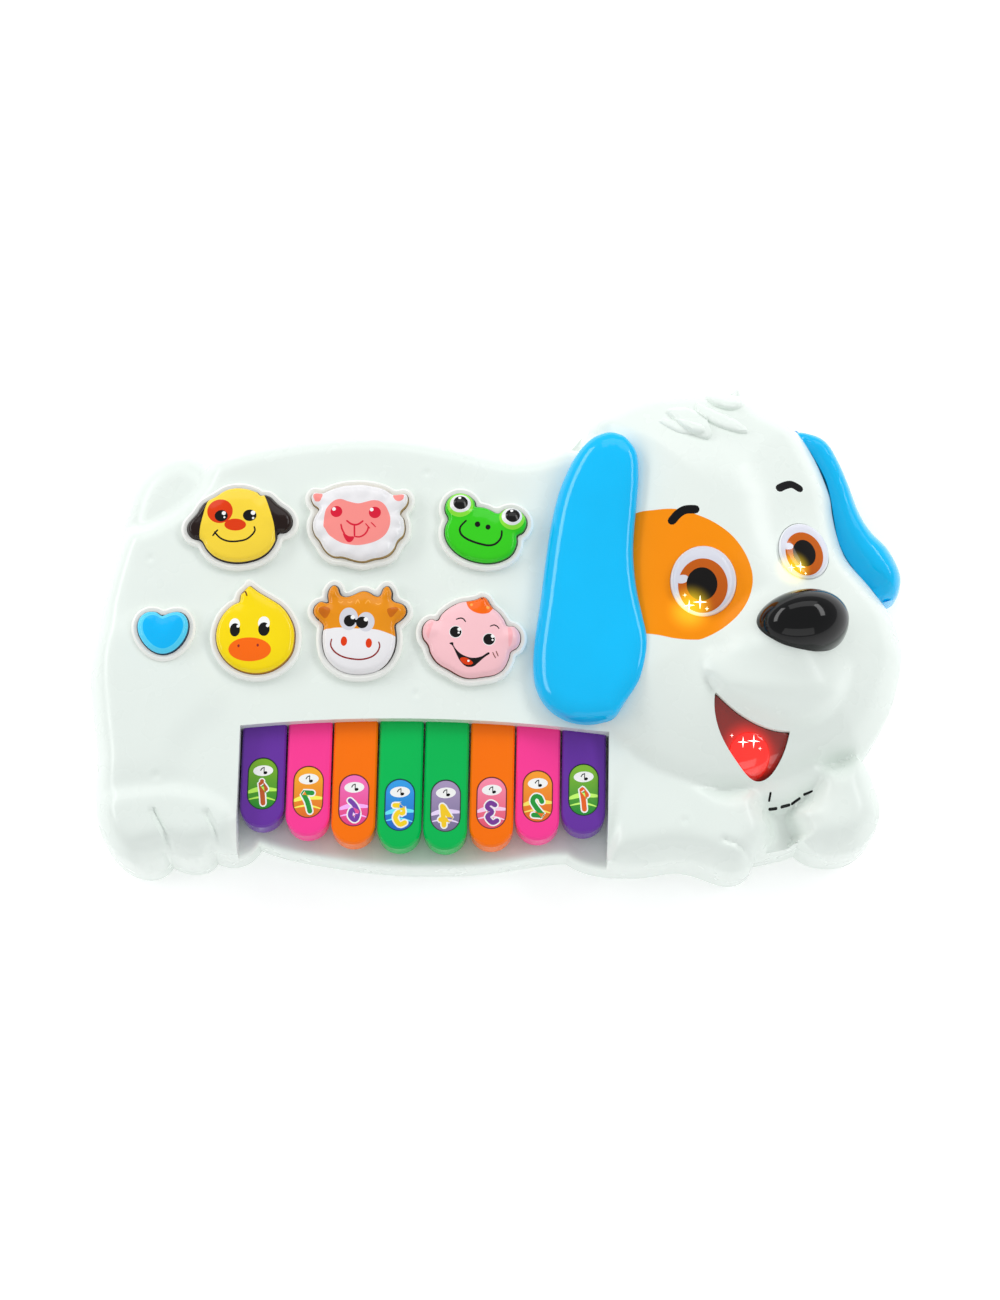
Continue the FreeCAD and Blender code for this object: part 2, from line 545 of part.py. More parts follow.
def rectangle(drawing, x0, x1, y0, y1, expressions):
    """A rectangle whose four sides are bound in the order left, right, low, high."""
    corners = [Vector(x0, y0, 0), Vector(x1, y0, 0), Vector(x1, y1, 0), Vector(x0, y1, 0)]
    drawing.addGeometry([Part.LineSegment(corners[i], corners[(i + 1) % 4])
                         for i in range(4)])
    drawing.addConstraint(
        [Sketcher.Constraint("Coincident", i, 2, (i + 1) % 4, 1) for i in range(4)]
        + [Sketcher.Constraint("Horizontal", 0), Sketcher.Constraint("Horizontal", 2),
           Sketcher.Constraint("Vertical", 1), Sketcher.Constraint("Vertical", 3)])
    left, right, low, high = expressions
    fix(drawing, Sketcher.Constraint("DistanceX", -1, 1, 0, 1, x0), left)
    fix(drawing, Sketcher.Constraint("DistanceX", -1, 1, 1, 1, x1), right)
    fix(drawing, Sketcher.Constraint("DistanceY", -1, 1, 0, 1, y0), low)
    fix(drawing, Sketcher.Constraint("DistanceY", -1, 1, 2, 1, y1), high)


def circle(drawing, x, y, radius, x_expression, y_expression, radius_expression):
    """A circle with its centre and radius bound."""
    drawing.addGeometry(Part.Circle(Vector(x, y, 0), Vector(0, 0, 1), radius))
    fix(drawing, Sketcher.Constraint("DistanceX", -1, 1, 0, 3, x), x_expression)
    fix(drawing, Sketcher.Constraint("DistanceY", -1, 1, 0, 3, y), y_expression)
    fix(drawing, Sketcher.Constraint("Radius", 0, radius), radius_expression)


def padded(body, name, drawing, length, midplane=False):
    """Material added from a sketch."""
    pad = body.newObject("PartDesign::Pad", name)
    pad.Profile = drawing
    pad.Midplane = midplane
    pad.setExpression("Length", length)
    return pad


def pocketed(body, name, drawing, length, upwards=False, midplane=False):
    """Material taken away under a sketch, or over it when upwards."""
    pocket = body.newObject("PartDesign::Pocket", name)
    pocket.Profile = drawing
    pocket.Reversed = upwards
    pocket.Midplane = midplane
    pocket.setExpression("Length", length)
    return pocket


def make_key(number, tip):
    """One key: hollow lever, label recess, hinge arm and barrel, and the dome plunger."""
    label = f"key_{number}"
    body = doc.addObject("PartDesign::Body", label)
    body.Label = label
    body.setExpression("Placement.Base.x",
                       f"Sizes.key_first + {number - 1} * Sizes.key_pitch")
    half = size("key_width") / 2
    back, wall = size("key_back"), size("key_wall")
    top = on_plane(body, f"{label}_outline", "XY_Plane", "Sizes.key_base")
    tongue(top, half, tip, back, "Sizes.key_width / 2", f"{tip} + Sizes.key_width / 2",
           "Sizes.key_back")
    padded(body, f"{label}_pad", top, "Sizes.key_height")
    hollow = on_plane(body, f"{label}_inside", "XY_Plane", "Sizes.key_base")
    tongue(hollow, half - wall, tip + wall, back - wall, "Sizes.key_width / 2 - Sizes.key_wall",
           f"{tip} + Sizes.key_width / 2", "Sizes.key_back - Sizes.key_wall")
    pocketed(body, f"{label}_hollow", hollow, "Sizes.key_height - Sizes.key_wall",
             upwards=True)
    recess = on_plane(body, f"{label}_recess", "XY_Plane", "Sizes.key_base + Sizes.key_height")
    low = tip + size("label_setback") - size("label_length") / 2 + size("label_width") / 2
    high = tip + size("label_setback") + size("label_length") / 2 - size("label_width") / 2
    reach = "Sizes.label_length / 2 - Sizes.label_width / 2"
    oval(recess, size("label_width") / 2, low, high, "Sizes.label_width / 2",
         f"{tip} + Sizes.label_setback - ({reach})",
         f"{tip} + Sizes.label_setback + ({reach})")
    pocketed(body, f"{label}_recess_cut", recess, "Sizes.label_depth")
    stem = on_plane(body, f"{label}_stem", "XY_Plane", "Sizes.plunger_low")
    long, wide = size("plunger_length") / 2, size("plunger_width") / 2
    middle = size("plunger_offset")
    rectangle(stem, -long, long, middle - wide, middle + wide,
              ["-Sizes.plunger_length / 2", "Sizes.plunger_length / 2",
               "Sizes.plunger_offset - Sizes.plunger_width / 2",
               "Sizes.plunger_offset + Sizes.plunger_width / 2"])
    padded(body, f"{label}_plunger", stem,
           "Sizes.key_base + Sizes.key_height - Sizes.key_wall - Sizes.plunger_low")
    arm = on_plane(body, f"{label}_arm", "YZ_Plane")
    hinge, level, barrel = size("hinge_back"), size("hinge_level"), size("barrel_radius")
    rectangle(arm, back - 1, hinge, level - barrel, level + barrel,
              ["Sizes.key_back - 1", "Sizes.hinge_back",
               "Sizes.hinge_level - Sizes.barrel_radius",
               "Sizes.hinge_level + Sizes.barrel_radius"])
    padded(body, f"{label}_arm_pad", arm, "Sizes.arm_width", midplane=True)
    ring = on_plane(body, f"{label}_ring", "YZ_Plane")
    circle(ring, hinge, level, barrel, "Sizes.hinge_back", "Sizes.hinge_level",
           "Sizes.barrel_radius")
    padded(body, f"{label}_barrel", ring, "Sizes.arm_width", midplane=True)
    bore = on_plane(body, f"{label}_bore", "YZ_Plane")
    radius = size("rod_radius") + size("bore_clearance")
    circle(bore, hinge, level, radius, "Sizes.hinge_back", "Sizes.hinge_level",
           "Sizes.rod_radius + Sizes.bore_clearance")
    pocketed(body, f"{label}_bore_cut", bore, "Sizes.arm_width + 2", midplane=True)
    return body


def make_key_label(number, tip):
    """The printed oval plate glued in a key's recess."""
    label = f"key_label_{number}"
    body = doc.addObject("PartDesign::Body", label)
    body.Label = label
    body.setExpression("Placement.Base.x",
                       f"Sizes.key_first + {number - 1} * Sizes.key_pitch")
    plate = on_plane(body, f"{label}_outline", "XY_Plane",
                     "Sizes.key_base + Sizes.key_height - Sizes.label_depth")
    half = size("label_width") / 2 - 0.1
    reach = size("label_length") / 2 - size("label_width") / 2
    centre = tip + size("label_setback")
    oval(plate, half, centre - reach, centre + reach, "Sizes.label_width / 2 - 0.1",
         f"{tip} + Sizes.label_setback - Sizes.label_length / 2 + Sizes.label_width / 2",
         f"{tip} + Sizes.label_setback + Sizes.label_length / 2 - Sizes.label_width / 2")
    padded(body, f"{label}_pad", plate, "Sizes.label_thick")
    return body


subparts = []
for number, tip in enumerate(KEY_TIPS, start=1):
    subparts.append(make_key(number, tip))
    subparts.append(make_key_label(number, tip))

# ---------------------------------------------------------------------------------------------
# Hinge rod and the rail that carries it under the deck
# ---------------------------------------------------------------------------------------------
LAST_KEY = f"(Sizes.key_first + {KEY_COLOURS - 1} * Sizes.key_pitch)"
HALF_PITCH = "Sizes.key_pitch / 2"
subparts.append(cylinder_item(
    "hinge_rod", f"Sizes.key_first - {HALF_PITCH} - 2", "Sizes.hinge_back",
    "Sizes.hinge_level", "Sizes.rod_radius",
    f"{KEY_COLOURS} * Sizes.key_pitch + 4", Vector(1, 0, 0)))
RAIL_LOW = "(Sizes.deck - Sizes.wall - Sizes.rail_thick)"
rail_solids = [box_item(
    "rail_plate", f"Sizes.key_first - {HALF_PITCH} - 2", "Sizes.rail_front", RAIL_LOW,
    f"{KEY_COLOURS} * Sizes.key_pitch + 4", "Sizes.rail_rear - Sizes.rail_front",
    "Sizes.rail_thick")]
for i in range(KEY_COLOURS + 1):
    middle = f"Sizes.key_first + {i - 0.5} * Sizes.key_pitch"
    rail_solids.append(box_item(
        f"rail_lug_{i}", f"{middle} - Sizes.lug_width / 2", "Sizes.rail_front",
        "Sizes.lug_low", "Sizes.lug_width", "Sizes.rail_rear - Sizes.rail_front",
        f"{RAIL_LOW} - Sizes.lug_low"))
rail_body = fuse_item("rail_body", rail_solids)
rail_bore = cylinder_item(
    "rail_bore", f"Sizes.key_first - {HALF_PITCH} - 6", "Sizes.hinge_back",
    "Sizes.hinge_level", "Sizes.rod_radius", f"{KEY_COLOURS} * Sizes.key_pitch + 12",
    Vector(1, 0, 0))
STAKED_KEYS = (1, 3, 6, 8)
stake_holes = [cylinder_item(
    f"rail_stake_hole_{key}", f"Sizes.key_first + {key - 1} * Sizes.key_pitch",
    "Sizes.hinge_back", f"{RAIL_LOW} - 1", "Sizes.stake_radius", "Sizes.rail_thick + 2")
    for key in STAKED_KEYS]
subparts.append(cut_item("key_rail", rail_body, fuse_item("rail_holes",
                                                          [rail_bore] + stake_holes)))

# ---------------------------------------------------------------------------------------------
# Animal and heart buttons
# ---------------------------------------------------------------------------------------------
def button_ring(name, distance):
    """The face inside a button's outline moved outwards, or inwards if negative."""
    return ring_face(BUTTONS[name], distance)


def button_centre(name):
    """Where the button's stem presses its dome."""
    box = outline_face(BUTTONS[name]).BoundBox
    return box.Center.x, box.Center.y


# The dog's flange is left out beside the tail, where the shell slopes down to it
FLANGE_NOTCH = (-130, -111.5, 28.5, 52)


def make_button(name):
    """A hollow cap with a stepped top edge, a retaining flange and a stem."""
    top, wall, edge = size("button_top"), size("button_wall"), size("button_round")
    low = size("flange_low")
    cap = slab(button_ring(name, -0.05), low, top - edge)
    cap = cap.fuse(slab(button_ring(name, -edge), low, top))
    flange = slab(button_ring(name, size("button_flange")), low, size("flange_high"))
    if name == "button_dog":
        flange = flange.cut(brick(*FLANGE_NOTCH, low - 1, size("flange_high") + 1))
    cap = cap.fuse(flange)
    cap = cap.cut(slab(button_ring(name, -wall), low - 1, top - wall))
    x, y = button_centre(name)
    stem = cylinder(x, y, size("button_low"), top - wall / 2, size("stem_radius"))
    return feature(name, cap.fuse(stem).removeSplitter())


for name in BUTTONS:
    subparts.append(make_button(name))

# ---------------------------------------------------------------------------------------------
# Front shell
# ---------------------------------------------------------------------------------------------
SCREW_PLACES = [(-139, 20), (-30, 58), (-32, -33), (-132, -69), (74, -83), (62, 84),
                (124, 56), (143, -20)]
BOARD_POSTS = [(-78, 12.5), (-29, 12.5), (-141, 5), (8.5, 12.5)]
KEY_BOARD_POSTS = [(-82.1, -66), (-28.3, -66), (25.6, -66)]
EYES = {"left": (80.0, 8.9), "right": (119.4, 22.5)}
EYE_LIGHT_LEVEL = {"left": 34.0, "right": 27.0}
MOUTH_LIGHT = (99.0, -54.0)
LIGHT_BOARD_RADIUS, LIGHT_HOLE_RADIUS, LIGHT_RADIUS = 7.0, 5.8, 2.5
NOSE = (118.0, -8.0)
SKY = 95.0

silhouette = outline_face(SILHOUETTE)
front_points = sampled(front_height, (-172, 172), (-113, 113), 6.5)
under_front = under_surface(front_points)
front_solid = slab(silhouette, size("parting"), SKY).common(under_front)


def face_frame(x, y):
    """A placement on the front surface whose Z axis is the surface's normal."""
    reach = 4.0
    slope_x = (front_height(x + reach, y) - front_height(x - reach, y)) / (2 * reach)
    slope_y = (front_height(x, y + reach) - front_height(x, y - reach)) / (2 * reach)
    normal = Vector(-slope_x, -slope_y, 1)
    return Placement(Vector(x, y, front_height(x, y)), Rotation(Vector(0, 0, 1), normal))


def ellipse_plug(half_x, half_y, low, high, frame):
    """An elliptical disc in a local frame."""
    long, short = max(half_x, half_y), min(half_x, half_y)
    ellipse = Part.Ellipse(Vector(0, 0, 0), long, short)
    if half_y > half_x:
        ellipse.rotate(Placement(Vector(), Rotation(Vector(0, 0, 1), 90)))
    disc = slab(Part.Face(Part.Wire(ellipse.toShape())), low, high)
    disc.Placement = frame.multiply(disc.Placement)
    return disc


def ellipsoid(half_x, half_y, half_z, frame):
    """An ellipsoid with its middle at a local frame's origin."""
    scale = FreeCAD.Matrix()
    scale.scale(half_x, half_y, half_z)
    solid = Part.makeSphere(1.0).transformGeometry(scale)
    solid.Placement = frame
    return solid


def key_well():
    """The opening that the keys lie in, down to the tray floor."""
    left, right = size("well_left"), size("well_right")
    front, end, middle = size("well_front"), size("well_back_end"), size("well_back")
    corners = [Vector(left, front, 0), Vector(left, end, 0), Vector(right, end, 0),
               Vector(right, front, 0)]
    arc = Part.Arc(corners[1], Vector((left + right) / 2, middle, 0), corners[2]).toShape()
    edges = [Part.LineSegment(corners[0], corners[1]).toShape(), arc,
             Part.LineSegment(corners[2], corners[3]).toShape(),
             Part.LineSegment(corners[3], corners[0]).toShape()]
    return slab(Part.Face(Part.Wire(edges)), size("tray_level"), SKY)


def key_tray():
    """Floor under the keys with a slot for each plunger, and the two side walls."""
    left, right, wall = size("well_left"), size("well_right"), size("wall")
    level, back = size("tray_level"), size("well_back_end")
    front = size("well_front")
    tray = brick(left - wall, right + wall, front, back, level - wall, level)
    for edge in (left - wall, right):
        tray = tray.fuse(brick(edge, edge + wall, front, back, level - wall, SKY))
    long, wide = size("slot_length") / 2, size("slot_width") / 2
    middle = size("plunger_offset")
    for number in range(KEY_COLOURS):
        x = size("key_first") + number * size("key_pitch")
        tray = tray.cut(brick(x - long, x + long, middle - wide, middle + wide, level - 5,
                              level + 1))
    return tray.common(front_solid)


def make_front_shell():
    """The white moulding with the body, head, paws, key well and button rims."""
    wall, deck, parting = size("wall"), size("deck"), size("parting")
    inside = slab(grown(silhouette, -wall), parting - 1, SKY)
    inside = inside.common(under_surface(front_points, -wall))
    posts = []
    for x, y in SCREW_PLACES:
        posts.append(cylinder(x, y, parting, front_height(x, y) - wall / 2,
                              size("boss_radius")))
    for x, y in BOARD_POSTS:
        posts.append(cylinder(x, y, size("main_board_top"), deck - wall / 2, 2.8))
    for side, (x, y) in EYES.items():
        posts.append(cylinder(x, y, EYE_LIGHT_LEVEL[side], front_height(x, y) - 4,
                              LIGHT_BOARD_RADIUS))
        posts.append(ellipse_plug(size(f"eye_{side}_half_x") + wall,
                                  size(f"eye_{side}_half_y") + wall, -6.5, -1.0,
                                  face_frame(x, y)))
    mouth_cup = slab(ring_face(MOUTH, wall), size("mouth_floor") - wall, SKY)
    posts.append(mouth_cup.common(under_surface(front_points, -1.0)))
    shell = front_solid.cut(inside)
    for post in posts:
        shell = shell.fuse(post)
    shell = shell.cut(key_well()).fuse(key_tray())
    gap, rim = size("button_gap"), size("rim_width")
    rims = [slab(button_ring(name, gap + rim), deck - wall / 2, size("rim_top"))
            for name in BUTTONS]
    stakes = []
    for key in STAKED_KEYS:
        x = size("key_first") + (key - 1) * size("key_pitch")
        low = deck - wall - size("rail_thick")
        y = size("hinge_back")
        stakes += [cylinder(x, y, low - 1.4, low, size("stake_head")),
                   cylinder(x, y, low - 1, deck - wall / 2, size("stake_radius"))]
    stakes += [cylinder(x, y, size("key_board_top"), size("tray_level") - 1, 2.0)
               for x, y in KEY_BOARD_POSTS]
    for rim_slab in rims:
        shell = shell.fuse(rim_slab)
    shell = shell.fuse(stakes)
    holes = [slab(button_ring(name, gap), size("button_low"), SKY) for name in BUTTONS]
    holes += [cylinder(x, y, parting - 1, 27, size("screw_radius")) for x, y in SCREW_PLACES]
    holes += [cylinder(x, y, 23, 32, size("board_screw_radius")) for x, y in BOARD_POSTS]
    holes += [cylinder(x, y, 13, 18.5, size("board_screw_radius")) for x, y in
              KEY_BOARD_POSTS]
    holes += [cylinder(x, y, EYE_LIGHT_LEVEL[side] - 1, SKY, LIGHT_HOLE_RADIUS)
              for side, (x, y) in EYES.items()]
    holes += [slab(outline_face(MOUTH), size("mouth_floor"), SKY),
              cylinder(*MOUTH_LIGHT, size("mouth_floor") - wall - 1, SKY, LIGHT_HOLE_RADIUS)]
    gap = size("face_gap")
    for side, (x, y) in EYES.items():
        depth = size("eye_sink") + size("eye_print_thick")
        holes.append(ellipse_plug(size(f"eye_{side}_half_x") + gap,
                                  size(f"eye_{side}_half_y") + gap, -depth, 20,
                                  face_frame(x, y)))
    for hole in holes:
        shell = shell.cut(hole)
    return feature("front_shell", shell)


subparts.append(make_front_shell())

# ---------------------------------------------------------------------------------------------
# Ears, nose, eyes and mouth
# ---------------------------------------------------------------------------------------------
def left_ear_height(x, y):
    """Top of the ear that lies over the head's side: it follows the shell, rounded off."""
    rise = swell(depth_inside(x, y, EAR_LEFT_LOOP), 2.0, size("ear_rise"), 7.0)
    return front_height(x, y) + rise


def right_ear_height(x, y):
    """Top of the ear beside the head."""
    depth = depth_inside(x, y, EAR_RIGHT_LOOP)
    return swell(depth, size("ear_right_top") - 9, size("ear_right_top"), 7.0)


EAR_LEFT_LOOP = loop(EAR_LEFT[0][:-1])
EAR_RIGHT_LOOP = loop(EAR_RIGHT_OUTER[:-1] + HEAD_SIDE[:-1], 3)
ear_points = sampled(left_ear_height, (8, 64), (-52, 80), 4.0)
ear_left = slab(outline_face(EAR_LEFT), 30, SKY).common(under_surface(ear_points))
subparts.append(feature("ear_left", ear_left.cut(front_solid)))
ear_points = sampled(right_ear_height, (110, 170), (4, 92), 4.0)
ear_right = slab(outline_face([EAR_RIGHT_OUTER, HEAD_SIDE]), size("ear_right_low"), SKY)
subparts.append(feature("ear_right", ear_right.common(under_surface(ear_points))))

nose = ellipsoid(size("nose_half_x"), size("nose_half_y"), size("nose_half_z"),
                 Placement(Vector(*NOSE, size("nose_level")), Rotation()))
subparts.append(feature("nose", nose.cut(front_solid)))

for side, (x, y) in EYES.items():
    frame = face_frame(x, y)
    half_x, half_y = size(f"eye_{side}_half_x"), size(f"eye_{side}_half_y")
    sink, bulge = size("eye_sink"), size("eye_bulge")
    dome = ellipsoid(half_x, half_y, sink + bulge,
                     frame.multiply(Placement(Vector(0, 0, -sink), Rotation())))
    plug = ellipse_plug(half_x + 1, half_y + 1, -sink, sink + bulge + 1, frame)
    subparts.append(feature(f"eye_lens_{side}", dome.common(plug)))
    subparts.append(feature(f"eye_print_{side}", ellipse_plug(
        half_x, half_y, -sink - size("eye_print_thick"), -sink, frame)))

depth, thick = size("mouth_depth"), size("mouth_thick")
mouth = slab(grown(outline_face(MOUTH), -size("face_gap")), 30, SKY)
mouth = mouth.common(under_surface(front_points, -depth))
subparts.append(feature("mouth_lens", mouth.cut(under_surface(front_points,
                                                              -depth - thick))))

light_boards, lights = [], []
for place, low in ((EYES["left"], EYE_LIGHT_LEVEL["left"]),
                   (EYES["right"], EYE_LIGHT_LEVEL["right"]),
                   (MOUTH_LIGHT, size("mouth_floor") - size("wall"))):
    light_boards.append(cylinder(*place, low - size("board_thick"), low, LIGHT_BOARD_RADIUS))
    lights.append(cylinder(*place, low, low + 4, LIGHT_RADIUS).fuse(
        Part.makeSphere(LIGHT_RADIUS, Vector(*place, low + 4))).removeSplitter())
subparts.append(feature("led_boards", Part.makeCompound(light_boards)))
subparts.append(feature("leds", Part.makeCompound(lights)))

# ---------------------------------------------------------------------------------------------
# Rear cover
# ---------------------------------------------------------------------------------------------
BAY_X, BAY_Y = size("cell_middle_x"), size("cell_middle_y") - 3.0
BAY = (BAY_X - size("bay_length") / 2, BAY_X + size("bay_length") / 2,
       BAY_Y - size("bay_width") / 2, BAY_Y + size("bay_width") / 2)
SPEAKER = (size("speaker_x"), size("speaker_y"))
SPEAKER_TABS = [(SPEAKER[0] + 28.0 * math.cos(math.radians(turn)),
                 SPEAKER[1] + 28.0 * math.sin(math.radians(turn))) for turn in (90, 210, 330)]
DOOR_SCREW = (BAY_X, BAY[2] + 4.5)
SWITCH = (size("switch_x"), size("switch_y"))


def speaker_grille(low, high):
    """Parallel slots under the speaker."""
    slots, pitch, reach = [], 5.0, 19.0
    for row in range(-3, 4):
        half = math.sqrt(reach ** 2 - (row * pitch) ** 2)
        x, y = SPEAKER[0], SPEAKER[1] + row * pitch
        slots.append(brick(x - half, x + half, y - 1, y + 1, low, high))
    return slots


def make_rear_cover():
    """The back moulding: floor, wall, screw posts, battery bay, speaker seat and lip."""
    floor, wall = size("foot_height"), size("wall")
    inside, parting = floor + wall, size("parting")
    cover = slab(grown(silhouette, -1.2), floor, parting)
    cover = cover.fuse(slab(silhouette, floor + 1.2, parting))
    cover = cover.cut(slab(grown(silhouette, -wall), inside, parting + 1))
    lip = slab(grown(silhouette, -wall - 0.15), inside - 1, parting + 1.5)
    lip = lip.cut(slab(grown(silhouette, -wall - 1.35), inside - 2, parting + 2))
    bay_wall, bay_top = size("bay_wall"), size("bay_top")
    bay = brick(BAY[0] - bay_wall, BAY[1] + bay_wall, BAY[2] - bay_wall, BAY[3] + bay_wall,
                floor, bay_top)
    solids = [lip, bay]
    solids += [cylinder(x, y, floor, parting, size("post_radius")) for x, y in SCREW_PLACES]
    solids += [cylinder(x, y, inside - 1, inside + 2.5, 3.5) for x, y in SPEAKER_TABS]
    ring = cylinder(*SPEAKER, inside - 1, inside + 2.5, size("speaker_radius"))
    solids.append(ring.cut(cylinder(*SPEAKER, inside - 2, inside + 3, 22.0)))
    cover = cover.fuse(solids)
    cavity = brick(*BAY, floor - 1, bay_top - bay_wall)
    post = cylinder(*DOOR_SCREW, floor + size("door_thick") + 0.3, bay_top - 0.5, 3.4)
    post = post.cut(cylinder(*DOOR_SCREW, floor, 12, 2.4))
    cover = cover.cut(cavity).fuse(post)
    holes = speaker_grille(floor - 1, inside + 0.5)
    for x, y in SCREW_PLACES:
        holes.append(cylinder(x, y, floor - 1, parting - 4, size("screw_head") + 0.4))
        holes.append(cylinder(x, y, floor, parting + 2, size("screw_radius") + 0.3))
    holes += [cylinder(x, y, inside - 1.5, inside + 3, 0.9) for x, y in SPEAKER_TABS]
    pin_hole = Part.makeCylinder(
        size("door_pin_radius") + 0.1, size("bay_length") + 2 * size("door_pin_reach") + 0.4,
        Vector(BAY[0] - size("door_pin_reach") - 0.2,
               BAY[3] - size("door_gap") - size("door_thick") / 2,
               floor + size("door_thick") / 2), Vector(1, 0, 0))
    holes.append(pin_hole)
    travel = size("switch_travel")
    holes.append(brick(SWITCH[0] - 1.8, SWITCH[0] + 1.8 + travel, SWITCH[1] - 2.0,
                       SWITCH[1] + 2.0, floor - 1, inside + 1))
    return feature("rear_cover", cover.cut(holes))


subparts.append(make_rear_cover())

FEET = [(-141, -80), (-128, 46), (60, 62), (124, -76), (132, 36)]
subparts.append(group_item("rubber_feet", [
    cone_item(f"foot_{i}", str(x), str(y), "0", "Sizes.foot_radius - 0.6",
              "Sizes.foot_radius", "Sizes.foot_height")
    for i, (x, y) in enumerate(FEET, start=1)]))

# ---------------------------------------------------------------------------------------------
# Battery door, cells and contacts
# ---------------------------------------------------------------------------------------------
DOOR_LEFT = "Sizes.cell_middle_x - Sizes.bay_length / 2"
DOOR_LENGTH = "Sizes.bay_length - 2 * Sizes.door_gap"
door_plate = box_item("door_plate", f"{DOOR_LEFT} + Sizes.door_gap",
                      "Sizes.cell_middle_y - 3 - Sizes.bay_width / 2 + Sizes.door_gap",
                      "Sizes.foot_height", DOOR_LENGTH,
                      "Sizes.bay_width - 2 * Sizes.door_gap - Sizes.door_thick / 2",
                      "Sizes.door_thick")
PIN_Y = "Sizes.cell_middle_y - 3 + Sizes.bay_width / 2 - Sizes.door_gap - Sizes.door_thick / 2"
PIN_Z = "Sizes.foot_height + Sizes.door_thick / 2"
knuckle = cylinder_item("door_knuckle", f"{DOOR_LEFT} + Sizes.door_gap", PIN_Y, PIN_Z,
                        "Sizes.door_thick / 2", DOOR_LENGTH, Vector(1, 0, 0))
pins = cylinder_item("door_pins", f"{DOOR_LEFT} - Sizes.door_pin_reach", PIN_Y, PIN_Z,
                     "Sizes.door_pin_radius", "Sizes.bay_length + 2 * Sizes.door_pin_reach",
                     Vector(1, 0, 0))
door = fuse_item("door_body", [door_plate, knuckle, pins])
screw_seat = cylinder_item("door_screw_seat", "Sizes.cell_middle_x", str(DOOR_SCREW[1]),
                           "Sizes.foot_height - 1", "Sizes.screw_head + 0.2", "2")
screw_hole = cylinder_item("door_screw_hole", "Sizes.cell_middle_x", str(DOOR_SCREW[1]),
                           "Sizes.foot_height - 1", "Sizes.door_screw_radius", "4")
subparts.append(cut_item("battery_door", door, fuse_item("door_holes",
                                                         [screw_seat, screw_hole])))
subparts.append(fuse_item("battery_door_screw", [
    cylinder_item("door_screw_head", "Sizes.cell_middle_x", str(DOOR_SCREW[1]),
                  "Sizes.foot_height + 0.2", "Sizes.screw_head", "0.8"),
    cylinder_item("door_screw_shank", "Sizes.cell_middle_x", str(DOOR_SCREW[1]),
                  "Sizes.foot_height + 1", "Sizes.door_screw_radius", "5")]))

CELL_X = "Sizes.cell_middle_x - Sizes.cell_length / 2"
cells, contacts, springs = [], [], []
for i, way in ((-1, 1), (0, -1), (1, 1)):
    row_y = f"Sizes.cell_middle_y + {i} * Sizes.cell_pitch"
    cell = cylinder_item(f"cell_can_{i + 2}", CELL_X, row_y, "Sizes.cell_level",
                         "Sizes.cell_radius", "Sizes.cell_length", Vector(1, 0, 0))
    cap_x = (CELL_X + " + Sizes.cell_length" if way > 0 else CELL_X + " - Sizes.cap_length")
    cap = cylinder_item(f"cell_cap_{i + 2}", cap_x, row_y, "Sizes.cell_level",
                        "Sizes.cap_radius", "Sizes.cap_length", Vector(1, 0, 0))
    cells.append(fuse_item(f"cell_{i + 2}", [cell, cap]))
    y = size("cell_middle_y") + i * size("cell_pitch")
    level, half = size("cell_level"), size("cell_length") / 2
    plus = BAY[1] if way > 0 else BAY[0]
    minus = BAY[0] if way > 0 else BAY[1]
    plate = size("contact_thick")
    for end in (plus, minus):
        inner = end - plate if end > BAY_X else end + plate
        contacts.append(brick(min(end, inner), max(end, inner), y - 5.5, y + 5.5, 5, 17.5))
    room = (BAY[1] - plate) - (BAY_X + half)
    nub = Part.makeCylinder(2.4, room - size("cap_length"),
                            Vector(BAY_X + way * (half + size("cap_length")), y, level),
                            Vector(way, 0, 0))
    contacts.append(nub)
    play = size("spring_wire") + 0.05
    springs.append(coil(minus + way * (plate + play), y, level, way * (room - 2 * play)))
subparts.append(group_item("batteries", cells))
subparts.append(feature("contact_plates", Part.makeCompound(contacts)))
subparts.append(feature("contact_springs", Part.makeCompound(springs)))

# ---------------------------------------------------------------------------------------------
# Boards, domes and components
# ---------------------------------------------------------------------------------------------
BOARD_LOW = "(Sizes.main_board_top - Sizes.board_thick)"
board_plate = box_item("main_board_plate", "Sizes.main_left", "Sizes.main_front", BOARD_LOW,
                       "Sizes.main_right - Sizes.main_left",
                       "Sizes.main_rear - Sizes.main_front", "Sizes.board_thick")
board_holes = [cylinder_item(f"main_board_hole_{i}", str(x), str(y), f"{BOARD_LOW} - 1",
                             "Sizes.board_screw_radius", "Sizes.board_thick + 2")
               for i, (x, y) in enumerate(BOARD_POSTS)]
board_holes.append(cylinder_item("main_board_boss_hole", str(SCREW_PLACES[0][0]),
                                 str(SCREW_PLACES[0][1]), f"{BOARD_LOW} - 1",
                                 "Sizes.boss_radius + 1", "Sizes.board_thick + 2"))
subparts.append(cut_item("main_board", board_plate, fuse_item("main_board_holes",
                                                              board_holes)))
key_plate = box_item("key_board_plate", "Sizes.key_board_left", "Sizes.key_board_front",
                     "Sizes.key_board_top - Sizes.board_thick",
                     "Sizes.key_board_right - Sizes.key_board_left",
                     "Sizes.key_board_rear - Sizes.key_board_front", "Sizes.board_thick")
key_holes = [cylinder_item(f"key_board_hole_{i}", str(x), str(y),
                           "Sizes.key_board_top - Sizes.board_thick - 1",
                           "Sizes.board_screw_radius", "Sizes.board_thick + 2")
             for i, (x, y) in enumerate(KEY_BOARD_POSTS)]
subparts.append(cut_item("key_board", key_plate, fuse_item("key_board_holes", key_holes)))
